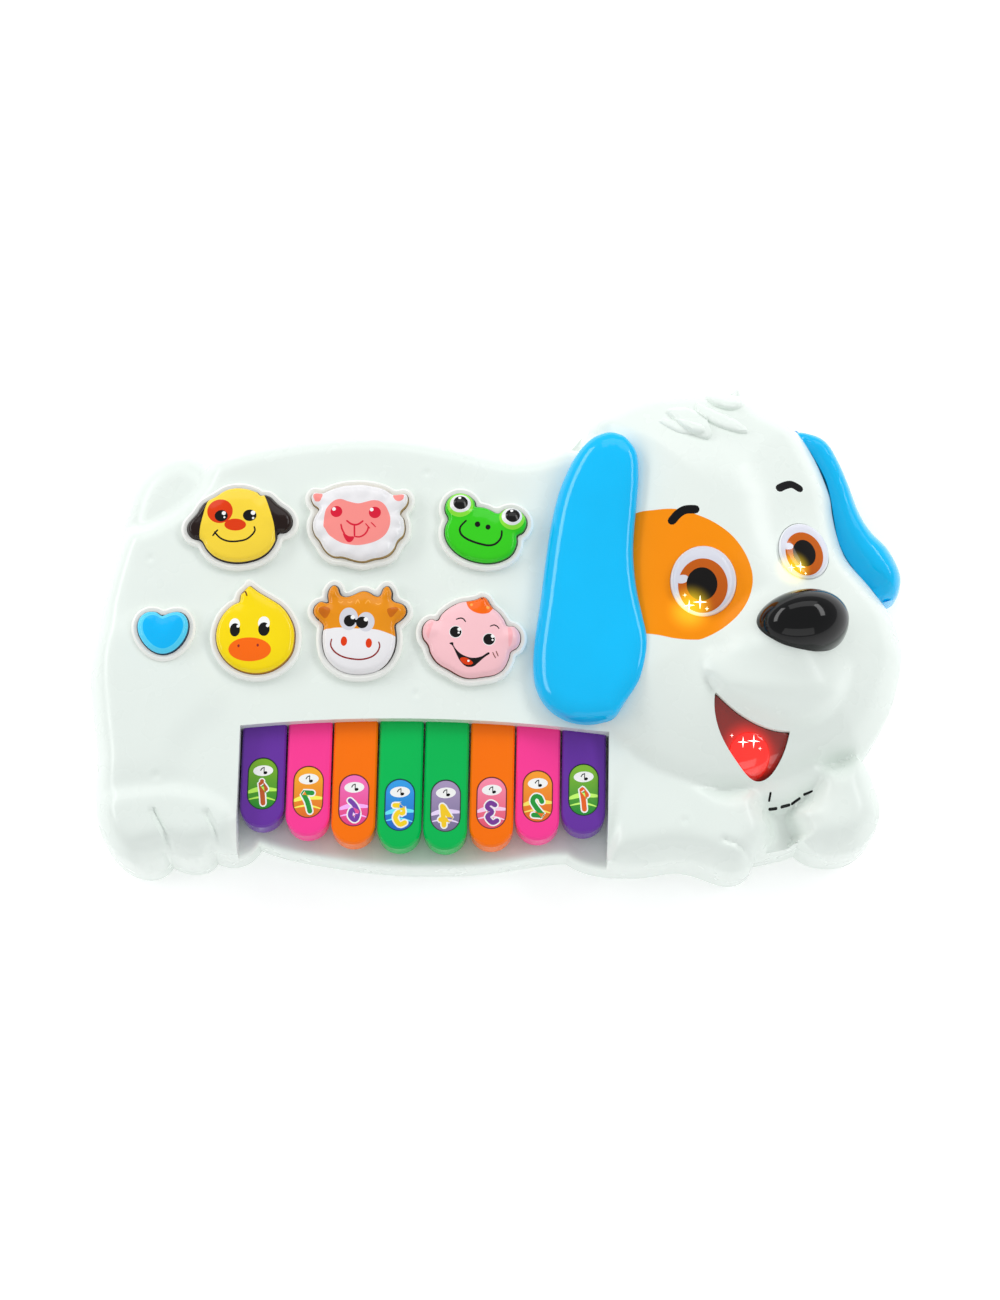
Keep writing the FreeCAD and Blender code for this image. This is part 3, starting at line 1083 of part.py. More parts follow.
subparts.append(group_item("key_domes", [
    cone_item(f"key_dome_{i + 1}", f"Sizes.key_first + {i} * Sizes.key_pitch",
              "Sizes.plunger_offset", "Sizes.key_board_top", "Sizes.key_dome_radius",
              "Sizes.key_dome_tip",
              "Sizes.plunger_low - Sizes.dome_clearance - Sizes.key_board_top")
    for i in range(KEY_COLOURS)]))
subparts.append(group_item("button_domes", [
    cone_item(f"{name}_dome", str(round(button_centre(name)[0], 3)),
              str(round(button_centre(name)[1], 3)), "Sizes.main_board_top",
              "Sizes.dome_radius", "Sizes.dome_tip",
              "Sizes.button_low - Sizes.dome_clearance - Sizes.main_board_top")
    for name in BUTTONS]))

BOARD_TOP = size("main_board_top")
components = [
    cylinder(-95, 12, BOARD_TOP, BOARD_TOP + 1.6, 5.0),
    brick(-62, -44, 12, 16, BOARD_TOP, BOARD_TOP + 2.2),
    cylinder(-8, 12, BOARD_TOP, BOARD_TOP + 7, 2.5),
    cylinder(-1, 12, BOARD_TOP, BOARD_TOP + 7, 2.5),
    brick(-18, -13, 10, 13, BOARD_TOP, BOARD_TOP + 1.2),
    brick(-132, -122, 3, 6, BOARD_TOP, BOARD_TOP + 2.5),
    brick(4, 12, 36, 44, BOARD_TOP, BOARD_TOP + 5),
]
subparts.append(feature("board_components", Part.makeCompound(components)))

ribbon_path = [(-53, 13.5), (-53, 14), (-46, 14.6), (-33, 22.6), (-27, 22.9), (-27, 22.4),
               (-32.6, 22.1), (-45.6, 14.1), (-52, 13.5)]
ribbon_edge = Part.makePolygon([Vector(-80, y, z) for y, z in ribbon_path + ribbon_path[:1]])
subparts.append(feature("ribbon_cable", Part.Face(ribbon_edge).extrude(Vector(14, 0, 0))))

# ---------------------------------------------------------------------------------------------
# Speaker and power switch
# ---------------------------------------------------------------------------------------------
SEAT = size("foot_height") + size("wall") + 2.5


def ring_cone(low, high, low_outer, high_outer, thick):
    """A conical wall around the speaker's axis."""
    outer = Part.makeCone(low_outer, high_outer, high - low, Vector(*SPEAKER, low))
    return outer.cut(Part.makeCone(low_outer - thick, high_outer - thick, high - low,
                                   Vector(*SPEAKER, low)))


frame = cylinder(*SPEAKER, SEAT, SEAT + 1.2, size("speaker_radius"))
frame = frame.fuse([cylinder(x, y, SEAT, SEAT + 1.2, 3.5) for x, y in SPEAKER_TABS])
frame = frame.cut(cylinder(*SPEAKER, SEAT - 1, SEAT + 2, 22.0))
frame = frame.fuse(ring_cone(SEAT + 1.0, SEAT + 9, 23.0, 13.0, 1.2))
frame = frame.fuse(cylinder(*SPEAKER, SEAT + 8.5, SEAT + 9.5, 13.0))
for x, y in SPEAKER_TABS:
    frame = frame.cut(cylinder(x, y, SEAT - 1, SEAT + 2, 1.0))
subparts.append(feature("speaker_frame", frame))
paper = ring_cone(SEAT + 1.5, SEAT + 6, 20.5, 9.0, 0.6)
paper = paper.fuse(Part.makeSphere(9.0, Vector(*SPEAKER, SEAT + 6)).common(
    cylinder(*SPEAKER, SEAT + 0.5, SEAT + 6.0, 9.0)).cut(
        Part.makeSphere(8.4, Vector(*SPEAKER, SEAT + 6))))
subparts.append(feature("speaker_cone", paper))
subparts.append(cylinder_item("speaker_magnet", "Sizes.speaker_x", "Sizes.speaker_y",
                              str(SEAT + 9.5), "Sizes.magnet_radius", "6"))

switch_low = size("foot_height") + size("wall")
subparts.append(feature("power_switch_body", brick(
    SWITCH[0] - 6, SWITCH[0] + 10, SWITCH[1] - 4, SWITCH[1] + 4, switch_low + 1.2,
    switch_low + 7)))
switch_cap = brick(SWITCH[0] - 4, SWITCH[0] + 4, SWITCH[1] - 3.2, SWITCH[1] + 3.2,
                   switch_low + 0.1, switch_low + 1.1)
subparts.append(feature("power_switch_cap", switch_cap.fuse(brick(
    SWITCH[0] - 1.5, SWITCH[0] + 1.5, SWITCH[1] - 1.7, SWITCH[1] + 1.7, 1.0,
    switch_low + 0.5))))

# ---------------------------------------------------------------------------------------------
# Fasteners and leads
# ---------------------------------------------------------------------------------------------
def screw(x, y, head_low, head_high, tip, head_radius, radius):
    """A pan-head screw driven upwards, with a cross recess in its head."""
    body = cylinder(x, y, head_low, head_high, head_radius)
    body = body.fuse(cylinder(x, y, head_high, tip, radius))
    arm, width = head_radius * 0.6, head_radius * 0.14
    for across in ((arm, width), (width, arm)):
        body = body.cut(brick(x - across[0], x + across[0], y - across[1], y + across[1],
                              head_low - 1, head_low + (head_high - head_low) * 0.6))
    return body


PARTING = size("parting")
subparts.append(feature("case_screws", Part.makeCompound([
    screw(x, y, PARTING - 5.8, PARTING - 4, PARTING + 10, size("screw_head"),
          size("screw_radius")) for x, y in SCREW_PLACES])))
board_low = size("main_board_top") - size("board_thick")
key_low = size("key_board_top") - size("board_thick")
subparts.append(feature("board_screws", Part.makeCompound(
    [screw(x, y, board_low - 1.5, board_low, board_low + 7, size("board_screw_head"),
           size("board_screw_radius")) for x, y in BOARD_POSTS]
    + [screw(x, y, key_low - 1.5, key_low, key_low + 5.5, size("board_screw_head"),
             size("board_screw_radius")) for x, y in KEY_BOARD_POSTS])))


def drive_screw_down(x, y, seat):
    """A speaker screw: head above the frame's tab, shank down into its post."""
    return cylinder(x, y, seat + 1.2, seat + 2.6, 2.1).fuse(
        cylinder(x, y, seat - 3, seat + 1.2, size("board_screw_radius")))


subparts.append(feature("speaker_screws", Part.makeCompound([
    drive_screw_down(x, y, SEAT) for x, y in SPEAKER_TABS])))


BATTERY_LEAD = [(0, 0, 0), (4, 0, 0), (8, 0, 2.6), (8, 0, 6.9)]
SPEAKER_LEAD = [(0, 0, 0), (-14, 0, 1.5), (-28, 0, 8), (-42, 0, 12.4), (-56, 0, 13.6)]


def leads(route, corner, spread):
    """A pair of leads side by side from a corner."""
    return Part.makeCompound([
        tube([(corner[0] + x, corner[1] + y + shift, corner[2] + z) for x, y, z in route],
             size("lead_radius")) for shift in (0, spread)])


subparts.append(feature("battery_leads", leads(BATTERY_LEAD, (BAY[1] + size("bay_wall"), 24,
                                                              board_low - 6.9), 4)))
subparts.append(feature("speaker_leads", leads(SPEAKER_LEAD, (67, 36, 8.7), 4)))

# ---------------------------------------------------------------------------------------------
# Checks and files
# ---------------------------------------------------------------------------------------------
doc.recompute()
for item in doc.Objects:
    if "Invalid" in item.State or "Error" in item.State:
        raise RuntimeError(f"{item.Label} failed: {item.State}")
for item in subparts:
    if item.Shape.isNull() or not item.Shape.isValid() or item.Shape.Volume <= 0:
        raise RuntimeError(f"{item.Label} has no valid shape")
    print(item.Label, len(item.Shape.Solids), round(item.Shape.Volume, 1))
os.makedirs("parts", exist_ok=True)
for item in subparts:
    item.Shape.exportStep(f"parts/{item.Label}.step")
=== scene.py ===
"""Looks of a puppy-shaped toy keyboard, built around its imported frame.

Lengths are in millimetres, in the frame's own axes, until a mesh is made in metres.
"""
import math

import bpy
import numpy as np
from mathutils import Matrix, Vector
from mathutils.geometry import delaunay_2d_cdt


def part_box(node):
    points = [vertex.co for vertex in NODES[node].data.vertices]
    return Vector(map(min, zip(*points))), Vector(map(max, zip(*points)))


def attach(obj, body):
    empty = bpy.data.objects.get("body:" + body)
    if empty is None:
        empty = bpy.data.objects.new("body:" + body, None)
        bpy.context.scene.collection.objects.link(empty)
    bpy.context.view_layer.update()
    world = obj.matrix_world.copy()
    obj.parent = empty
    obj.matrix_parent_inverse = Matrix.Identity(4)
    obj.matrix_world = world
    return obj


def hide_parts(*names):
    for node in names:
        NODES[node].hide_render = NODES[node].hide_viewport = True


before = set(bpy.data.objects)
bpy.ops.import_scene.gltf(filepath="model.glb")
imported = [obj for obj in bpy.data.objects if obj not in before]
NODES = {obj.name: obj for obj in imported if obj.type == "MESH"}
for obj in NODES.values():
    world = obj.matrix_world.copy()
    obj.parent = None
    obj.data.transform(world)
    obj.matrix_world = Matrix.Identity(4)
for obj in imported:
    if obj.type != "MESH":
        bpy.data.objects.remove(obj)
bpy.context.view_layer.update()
MM = 0.001


# ---------------------------------------------------------------------------------------------
# Camera
# ---------------------------------------------------------------------------------------------
def make_camera():
    """A camera in front of the toy's lower edge, looking steeply down at its front."""
    aim = Vector((0.7, -6.6, 25.0))
    tilt, roll = math.radians(16.0), math.radians(1.1)
    distance, drop = 1250.0, 4.8
    right = Vector((1, 0, 0))
    up = Vector((0, math.cos(tilt), math.sin(tilt)))
    view = Vector((0, math.sin(tilt), -math.cos(tilt)))
    right, up = (right * math.cos(roll) + up * math.sin(roll),
                 up * math.cos(roll) - right * math.sin(roll))
    place = (aim - view * distance - up * drop) * MM
    data = bpy.data.cameras.new("camera")
    data.sensor_width = 36.0
    data.lens = 86.54
    data.clip_end = 20.0
    camera = bpy.data.objects.new("camera", data)
    camera.matrix_world = Matrix((right, up, -view)).transposed().to_4x4()
    camera.location = place
    bpy.context.scene.collection.objects.link(camera)
    bpy.context.scene.camera = camera


# ---------------------------------------------------------------------------------------------
# Outlines
# ---------------------------------------------------------------------------------------------
def curve(points, steps=6, closed=True):
    """A Catmull-Rom curve through the points."""
    ends = (points[-1], points[0], points[1]) if closed else (
        points[0], points[-1], points[-1])
    padded = np.array([ends[0], *points, *ends[1:]], float)
    u = np.linspace(0, 1, steps, endpoint=False)[:, None]
    parts = []
    for a, b, c, d in zip(padded, padded[1:], padded[2:], padded[3:]):
        parts.append(0.5 * (2 * b + (c - a) * u + (2 * a - 5 * b + 4 * c - d) * u ** 2
                            + (3 * b - a - 3 * c + d) * u ** 3))
    if closed:
        return np.vstack(parts)
    return np.vstack(parts[:-1] + [padded[-1:]])


def even(points, spacing, closed=True):
    """The same line with evenly spaced points."""
    line = np.vstack([points, points[:1]]) if closed else np.asarray(points, float)
    steps = np.hypot(*np.diff(line, axis=0).T)
    along = np.concatenate([[0], np.cumsum(steps)])
    count = max(3 if closed else 1, round(along[-1] / spacing))
    wanted = np.linspace(0, along[-1], count + 1)
    spaced = np.c_[np.interp(wanted, along, line[:, 0]), np.interp(wanted, along, line[:, 1])]
    return spaced[:-1] if closed else spaced


def ellipse(x, y, half_x, half_y, turn=0.0, count=28):
    """Points around an ellipse that is turned by an angle in degrees."""
    angle = np.linspace(0, math.tau, count, endpoint=False)
    c, s = math.cos(math.radians(turn)), math.sin(math.radians(turn))
    a, b = half_x * np.cos(angle), half_y * np.sin(angle)
    return np.c_[x + c * a - s * b, y + s * a + c * b]


def normals(points):
    """Unit normals on the right-hand side of an open line."""
    step = np.gradient(points, axis=0)
    step /= np.hypot(*step.T)[:, None]
    return np.c_[step[:, 1], -step[:, 0]]


def stroke(points, width, taper=0.0, steps=6):
    """A brush stroke: the outline of a line with round ends, thinner at the ends by taper."""
    line = curve(points, steps, closed=False) if len(points) > 2 else even(points, 0.5, False)
    share = np.linspace(-1, 1, len(line))
    half = width / 2 * (1 - taper * share ** 2)
    side = normals(line) * half[:, None]
    turn = np.linspace(0, math.pi, 6)[1:-1, None]
    back = np.array([side[0, 1], -side[0, 0]])
    ahead = np.array([-side[-1, 1], side[-1, 0]])
    cap_first = line[0] - np.cos(turn) * side[0] + np.sin(turn) * back
    cap_last = line[-1] + np.cos(turn) * side[-1] + np.sin(turn) * ahead
    return np.vstack([line + side, cap_last, (line - side)[::-1], cap_first])


def depth(x, y, polygon):
    """Distance of each point from a polygon's edge, positive inside it."""
    nearest = np.full(x.shape, np.inf)
    within = np.zeros(x.shape, bool)
    for (x1, y1), (x2, y2) in zip(np.roll(polygon, 1, axis=0), polygon):
        dx, dy = x2 - x1, y2 - y1
        along = ((x - x1) * dx + (y - y1) * dy) / (dx * dx + dy * dy + 1e-12)
        along = np.clip(along, 0, 1)
        nearest = np.minimum(nearest, (x - x1 - along * dx) ** 2 + (y - y1 - along * dy) ** 2)
        if y1 != y2:
            within ^= ((y1 > y) != (y2 > y)) & (x < (x2 - x1) * (y - y1) / (y2 - y1) + x1)
    return np.sqrt(nearest) * np.where(within, 1, -1)


def depth_near(x, y, polygon, margin):
    """As depth, worked out only near the polygon: points far outside it get -margin."""
    low, high = polygon.min(0) - margin, polygon.max(0) + margin
    close = (x > low[0]) & (x < high[0]) & (y > low[1]) & (y < high[1])
    result = np.full(x.shape, -float(margin))
    result[close] = depth(x[close], y[close], polygon)
    return result


def outward(points):
    """Unit normals of a closed loop, pointing out of it."""
    turned = (np.roll(points, -1, axis=0) - np.roll(points, 1, axis=0))
    turned /= np.hypot(*turned.T)[:, None] + 1e-12
    area = np.sum(np.roll(points[:, 0], 1) * points[:, 1] - points[:, 0]
                  * np.roll(points[:, 1], 1))
    return np.c_[turned[:, 1], -turned[:, 0]] * math.copysign(1, area)


def moved(points, distance):
    """A closed loop moved outwards, without the points that would cross over."""
    shifted = points + outward(points) * distance
    reach = depth(shifted[:, 0], shifted[:, 1], points)
    return shifted[(np.abs(reach) > 0.97 * abs(distance)) & ((reach < 0) == (distance > 0))]


def node_loop(node, level, spacing, flat=0.02):
    """The longest edge loop of a node's level faces at a height, outermost first."""
    mesh = NODES[node].data
    level, flat = level * MM, flat * MM
    key, where = {}, {}
    for vertex in mesh.vertices:
        co = vertex.co
        key[vertex.index] = (round(co.x * 1e5), round(co.y * 1e5), round(co.z * 1e5))
        where[key[vertex.index]] = (co.x / MM, co.y / MM)
    edges = {}
    for face in mesh.polygons:
        if all(abs(mesh.vertices[v].co.z - level) < flat for v in face.vertices):
            ring = [key[v] for v in face.vertices]
            for a, b in zip(ring, ring[1:] + ring[:1]):
                if (b, a) in edges:
                    del edges[(b, a)]
                elif a != b:
                    edges[(a, b)] = True
    follow = dict(edges.keys())
    loops = []
    while follow:
        start, place = follow.popitem()
        line = [where[start]]
        while place != start and place in follow:
            line.append(where[place])
            place = follow.pop(place)
        if len(line) > 8:
            loops.append(even(np.array(line), spacing))
    return sorted(loops, key=lambda found: -np.ptp(found[:, 0]))


# ---------------------------------------------------------------------------------------------
# Reliefs: closed pieces made of a height over a flat outline
# ---------------------------------------------------------------------------------------------
class Region:
    """An area of a relief: printed in a material, and with a level of its own if it has one.

    An area with a loop within stops at that loop.
    """

    def __init__(self, loop, material=None, level=None, hole=False, within=None):
        self.loop, self.material, self.level, self.hole = loop, material, level, hole
        self.within = within


def free_points(outline, spacing, lines, extra):
    """A grid of points inside the outline, with the extra points, clear of all the lines."""
    low, high = outline.min(0), outline.max(0)
    rows = np.arange(low[1], high[1], spacing * 0.866)
    points = []
    for row, y in enumerate(rows):
        x = np.arange(low[0] + spacing * 0.5 * (row % 2), high[0], spacing)
        points.append(np.c_[x, np.full(x.shape, y)])
    points = np.vstack(points)
    if len(extra):
        extra = np.vstack(extra)
        cell = spacing * 0.7
        taken = set(map(tuple, np.floor(extra / cell).astype(int)))
        cells = np.floor(points / cell).astype(int)
        points = points[[tuple(c) not in taken for c in cells]]
        points = np.vstack([points, extra])
    keep = np.ones(len(points), bool)
    fixed = np.vstack(lines)
    cell = spacing
    buckets = {}
    for index, c in enumerate(map(tuple, np.floor(fixed / cell).astype(int))):
        buckets.setdefault(c, []).append(index)
    for index, (place, c) in enumerate(zip(points, np.floor(points / cell).astype(int))):
        near = [k for i in (-1, 0, 1) for j in (-1, 0, 1)
                for k in buckets.get((c[0] + i, c[1] + j), ())]
        if near and np.min(np.sum((fixed[near] - place) ** 2, axis=1)) < (0.35 * spacing) ** 2:
            keep[index] = False
    points = points[keep]
    return points[depth(points[:, 0], points[:, 1], outline) > 0.05]


def relief(name, body, outline, height, bottom, material, regions=(), extra=(),
           spacing=1.0, sharp=32.0):
    """A closed piece: height(x, y) over the outline, walls, and bottom(x, y) beneath."""
    lines = [outline] + [region.loop for region in regions]
    vertices, edges = [], []
    for line in lines:
        first, count = len(vertices), len(line)
        vertices += [Vector(p) for p in line]
        edges += [(first + i, first + (i + 1) % count) for i in range(count)]
    inner = free_points(outline, spacing, lines, list(extra))
    vertices += [Vector(p) for p in inner]
    made = delaunay_2d_cdt(vertices, edges, [], 0, 1e-5, False)
    flat = np.array([tuple(v) for v in made[0]])
    faces = np.array(made[2])
    middle = flat[faces].mean(axis=1)
    within = depth(middle[:, 0], middle[:, 1], outline) > 0
    faces, middle = faces[within], middle[within]
    level = np.zeros(len(faces), int)
    paint = np.zeros(len(faces), int)
    materials, heights = [material], [height]
    for region in regions:
        inside = depth_near(middle[:, 0], middle[:, 1], region.loop, 1.0) > 0
        if region.within is not None:
            inside &= depth_near(middle[:, 0], middle[:, 1], region.within, 1.0) > 0
        if region.hole:
            level[inside] = -1
            continue
        if region.material is not None:
            if region.material not in materials:
                materials.append(region.material)
            paint[inside] = materials.index(region.material)
        if region.level is not None:
            heights.append(region.level)
            level[inside] = len(heights) - 1
    solid = level >= 0
    faces, level, paint = faces[solid], level[solid], paint[solid]
    # one vertex for each level that meets at a point of the plan, and one beneath
    total = len(flat)
    pairs, corner = np.unique(level[:, None] * total + faces, return_inverse=True)
    corner = corner.reshape(faces.shape)
    pair_level, pair_point = pairs // total, pairs % total
    z = np.empty(len(pairs))
    for number, height_at in enumerate(heights):
        chosen = pair_level == number
        place = flat[pair_point[chosen]]
        if len(place):
            z[chosen] = height_at(place[:, 0], place[:, 1])
    used = np.unique(faces)
    below = np.full(total, -1)
    below[used] = len(pairs) + np.arange(len(used))
    z_below = bottom(flat[used, 0], flat[used, 1])
    points = np.vstack([np.c_[flat[pair_point], z], np.c_[flat[used], z_below]])
    # walls along the edges where two levels meet or where the plan ends
    ends = np.vstack([faces[:, [0, 1]], faces[:, [1, 2]], faces[:, [2, 0]]])
    owner = np.tile(np.arange(len(faces)), 3)
    tops = np.vstack([corner[:, [0, 1]], corner[:, [1, 2]], corner[:, [2, 0]]])
    partner = {}
    for index, (a, b) in enumerate(map(tuple, ends)):
        partner[(a, b)] = index
    quads, quad_paint = [], []
    for (a, b), index in partner.items():
        other = partner.get((b, a))
        top_a, top_b = tops[index]
        if other is None:
            quads.append((top_a, below[a], below[b], top_b))
            quad_paint.append(paint[owner[index]])
        elif level[owner[index]] != level[owner[other]]:
            other_b, other_a = tops[other]
            if points[top_a, 2] + points[top_b, 2] > points[other_a, 2] + points[other_b, 2]:
                quads.append((top_a, other_a, other_b, top_b))
                quad_paint.append(paint[owner[index]])
    mesh = bpy.data.meshes.new(name)
    triangles = corner.tolist() + below[faces[:, ::-1]].tolist()
    mesh.from_pydata((points * MM).tolist(), [], triangles + quads)
    chosen = paint.tolist() + paint.tolist() + quad_paint
    mesh.polygons.foreach_set("material_index", np.array(chosen, dtype=np.int32))
    return finished(name, mesh, materials, body, sharp)


def finished(name, mesh, materials, body, sharp=32.0):
    """Clean up a mesh, link it as a piece on a body, and give it its materials."""
    for item in materials:
        mesh.materials.append(item)
    mesh.validate()
    mesh.shade_smooth()
    mesh.set_sharp_from_angle(angle=math.radians(sharp))
    mesh.update()
    piece = bpy.data.objects.new(name, mesh)
    bpy.context.scene.collection.objects.link(piece)
    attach(piece, body)
    return piece


def level_at(z):
    """A height function that is the same everywhere."""
    return lambda x, y: np.full(np.shape(x), float(z))


# ---------------------------------------------------------------------------------------------
# Materials
# ---------------------------------------------------------------------------------------------
def shader(name):
    """A new material, its node tree and its Principled shader."""
    material = bpy.data.materials.new(name)
    material.use_nodes = True
    tree = material.node_tree
    return material, tree, tree.nodes["Principled BSDF"]


def noise(tree, scale, detail=3.0, roughness=0.55):
    """A noise texture over the object's own coordinates."""
    place = tree.nodes.new("ShaderNodeTexCoord")
    texture = tree.nodes.new("ShaderNodeTexNoise")
    texture.inputs["Scale"].default_value = scale
    texture.inputs["Detail"].default_value = detail
    texture.inputs["Roughness"].default_value = roughness
    tree.links.new(place.outputs["Object"], texture.inputs["Vector"])
    return texture.outputs["Fac"]


def ramp(tree, factor, low, high, low_at=0.35, high_at=0.65):
    """A colour ramp between two colours."""
    node = tree.nodes.new("ShaderNodeValToRGB")
    node.color_ramp.elements[0].position = low_at
    node.color_ramp.elements[1].position = high_at
    node.color_ramp.elements[0].color = (*low, 1)
    node.color_ramp.elements[1].color = (*high, 1)
    tree.links.new(factor, node.inputs["Fac"])
    return node.outputs["Color"]


def spread(tree, factor, low, high):
    """A number that follows a factor between two values."""
    node = tree.nodes.new("ShaderNodeMapRange")
    node.inputs["From Min"].default_value = 0.3
    node.inputs["From Max"].default_value = 0.7
    node.inputs["To Min"].default_value = low
    node.inputs["To Max"].default_value = high
    tree.links.new(factor, node.inputs["Value"])
    return node.outputs["Result"]


def bumped(tree, principled, factor, strength, distance):
    """Surface relief from a factor."""
    node = tree.nodes.new("ShaderNodeBump")
    node.inputs["Strength"].default_value = strength
    node.inputs["Distance"].default_value = distance
    tree.links.new(factor, node.inputs["Height"])
    tree.links.new(node.outputs["Normal"], principled.inputs["Normal"])


def linear(red, green, blue):
    """Linear colour from display values of 0 to 255."""
    return tuple((v / 255 / 12.92 if v <= 10 else ((v / 255 + 0.055) / 1.055) ** 2.4)
                 for v in (red, green, blue))


def plastic(name, colour, roughness=0.22, coat=0.0, change=0.04, grain=260.0, relief_depth=2e-5,
            shine=0.5):
    """Moulded plastic: faint flow marks in its colour, uneven gloss and orange peel."""
    material, tree, principled = shader(name)
    base = linear(*colour)
    dark = tuple(v * (1 - change) for v in base)
    light = tuple(min(1.0, v * (1 + change)) for v in base)
    tree.links.new(ramp(tree, noise(tree, 18.0), dark, light), principled.inputs["Base Color"])
    tree.links.new(spread(tree, noise(tree, 45.0), roughness * 0.8, roughness * 1.25),
                   principled.inputs["Roughness"])
    bumped(tree, principled, noise(tree, grain, 2.0), 0.12, relief_depth)
    principled.inputs["IOR"].default_value = 1.5
    principled.inputs["Specular IOR Level"].default_value = shine
    if coat:
        principled.inputs["Coat Weight"].default_value = coat
        principled.inputs["Coat Roughness"].default_value = 0.04
    return material


def metal(name, colour, roughness=0.3):
    """Plated steel with fine brushing."""
    material, tree, principled = shader(name)
    base = linear(*colour)
    dark = tuple(v * 0.8 for v in base)
    tree.links.new(ramp(tree, noise(tree, 90.0), dark, base), principled.inputs["Base Color"])
    tree.links.new(spread(tree, noise(tree, 220.0), roughness * 0.7, roughness * 1.3),
                   principled.inputs["Roughness"])
    bumped(tree, principled, noise(tree, 700.0), 0.1, 2e-5)
    principled.inputs["Metallic"].default_value = 1.0
    return material


def glowing(name, colour, glow, strength, roughness=0.15):
    """Translucent plastic lit from inside: the glow is uneven."""
    material = plastic(name, colour, roughness, coat=0.6)
    tree = material.node_tree
    principled = tree.nodes["Principled BSDF"]
    lit = tuple(v * 0.6 for v in linear(*glow))
    tree.links.new(ramp(tree, noise(tree, 60.0), lit, linear(*glow)),
                   principled.inputs["Emission Color"])
    principled.inputs["Emission Strength"].default_value = strength
    return material


WHITE = plastic("shell_white", (236, 244, 238), 0.26, change=0.012, shine=0.4)
CREAM = plastic("rim_cream", (248, 249, 244), 0.24, change=0.012, shine=0.4)
BLACK_PRINT = plastic("print_black", (9, 9, 12), 0.25, shine=0.2)
ORANGE_PRINT = plastic("print_orange", (255, 147, 0), 0.24, shine=0.2)


# ---------------------------------------------------------------------------------------------
# Front shell
# ---------------------------------------------------------------------------------------------
PARTING, EDGE, DECK, TRAY = 14.0, 18.0, 39.0, 20.0
RIM_TOP, RIM_GAP, WALL = 42.0, 0.17, 2.5
WELL_LEFT, WELL_RIGHT, WELL_BACK, WELL_BACK_END = -100.5, 44.2, -44.2, -48.4

BODY = curve([(7, 69), (-21, 74.5), (-50, 78.2), (-86, 75), (-113, 68), (-121, 62), (-124, 55),
              (-129, 48.5), (-136, 43), (-143.5, 38.5), (-152.5, 33), (-159.2, 6.5),
              (-162.4, -21.5), (-160.3, -43), (-157.6, -61), (-157.1, -79), (-152, -94.5),
              (-141.5, -102.8), (-127, -100), (-117.5, -101), (-101.2, -97.7),
              (-92.8, -91.5), (-65.6, -97.1), (-40.5, -99.8), (-6.8, -99), (17.6, -95),
              (42, -98), (60, -60), (66, 0), (56, 60), (30, 74)], 4)
TAIL = curve([(-108, 58), (-118.5, 64.5), (-124.5, 68.2), (-130.5, 69.1), (-136.7, 67.5),
              (-143, 62.8), (-148, 55.8), (-151.2, 46), (-152.2, 31), (-144, 20),
              (-120, 34)], 4)
HEAD = curve([(98, 97), (80, 99.4), (61.4, 98.4), (52, 96), (42.6, 91), (34.2, 83.4), (32, 66),
              (29, 44), (26, 12), (23, -22), (28, -42), (38, -54), (50, -62), (60, -68),
              (72, -72), (84, -73), (94, -72), (104, -69), (116, -65), (130, -59),
              (142.7, -53.3), (151.8, -43), (157.2, -32.3), (160.4, -20.6), (161.6, -10),
              (157.8, 4.8), (149.5, 17), (139.3, 30), (134.8, 46), (133.4, 55.9),
              (127.3, 71.7), (118.5, 84.8), (106.2, 91.8)], 4)
MUZZLE = curve([(79, -22), (81.5, -30), (88, -37), (95.6, -41.3), (102.5, -44.7), (109.5, -46.6),
                (116, -47.2), (123.4, -45.3), (130.4, -40.6), (135.5, -33), (139, -22),
                (139, -8), (132, 4), (119, 11), (104, 9), (90, 1), (81, -10)], 4)
CHIN = curve([(78, -58), (84, -76), (96, -78), (108, -77), (116, -75), (120.5, -72.6),
              (126, -69.5), (134, -62), (120, -48)], 4)
LEG = curve([(43, -40), (60, -50), (78, -59), (90, -66), (96, -65.4), (102, -65.6), (106, -68.5),
             (107.6, -75), (110, -83), (108, -90), (104, -94.6), (99.8, -99.3),
             (94.7, -101.6), (87.7, -100.8), (81.6, -98.6), (71.4, -96.8), (61.2, -98.6),
             (51.1, -99.2), (43, -98.6), (41, -70)], 4)
PAW_RIGHT = curve([(143, -52), (134, -55.5), (127.5, -56.5), (123.5, -60.5), (123.3, -65.5),
                   (121, -70.5), (116.5, -74), (115, -79), (117.8, -84.8), (116, -89.5),
                   (118, -92), (124.9, -92.9), (132, -93.8), (141.2, -91.9), (147.4, -86.6),
                   (151.6, -78.2), (151.8, -71.9), (149.7, -64.7), (147.6, -58.8)], 4)
PANEL = curve([(96, -96), (98, -66), (126, -64), (124, -92)], 3)
HIND_PAW = curve([(-166, -75), (-151.7, -73.5), (-141.7, -71.6), (-130.5, -70.3),
                  (-119.3, -71.1), (-109.1, -73.8), (-98, -82), (-90, -100), (-130, -112),
                  (-166, -104)], 4)
HAUNCH = curve([(-104, -30), (-104.6, -45), (-112.2, -51.5), (-118.1, -58.6), (-119, -63),
                (-118.2, -68), (-135, -76), (-168, -70), (-172, -20), (-150, 0), (-120, -8)], 4)
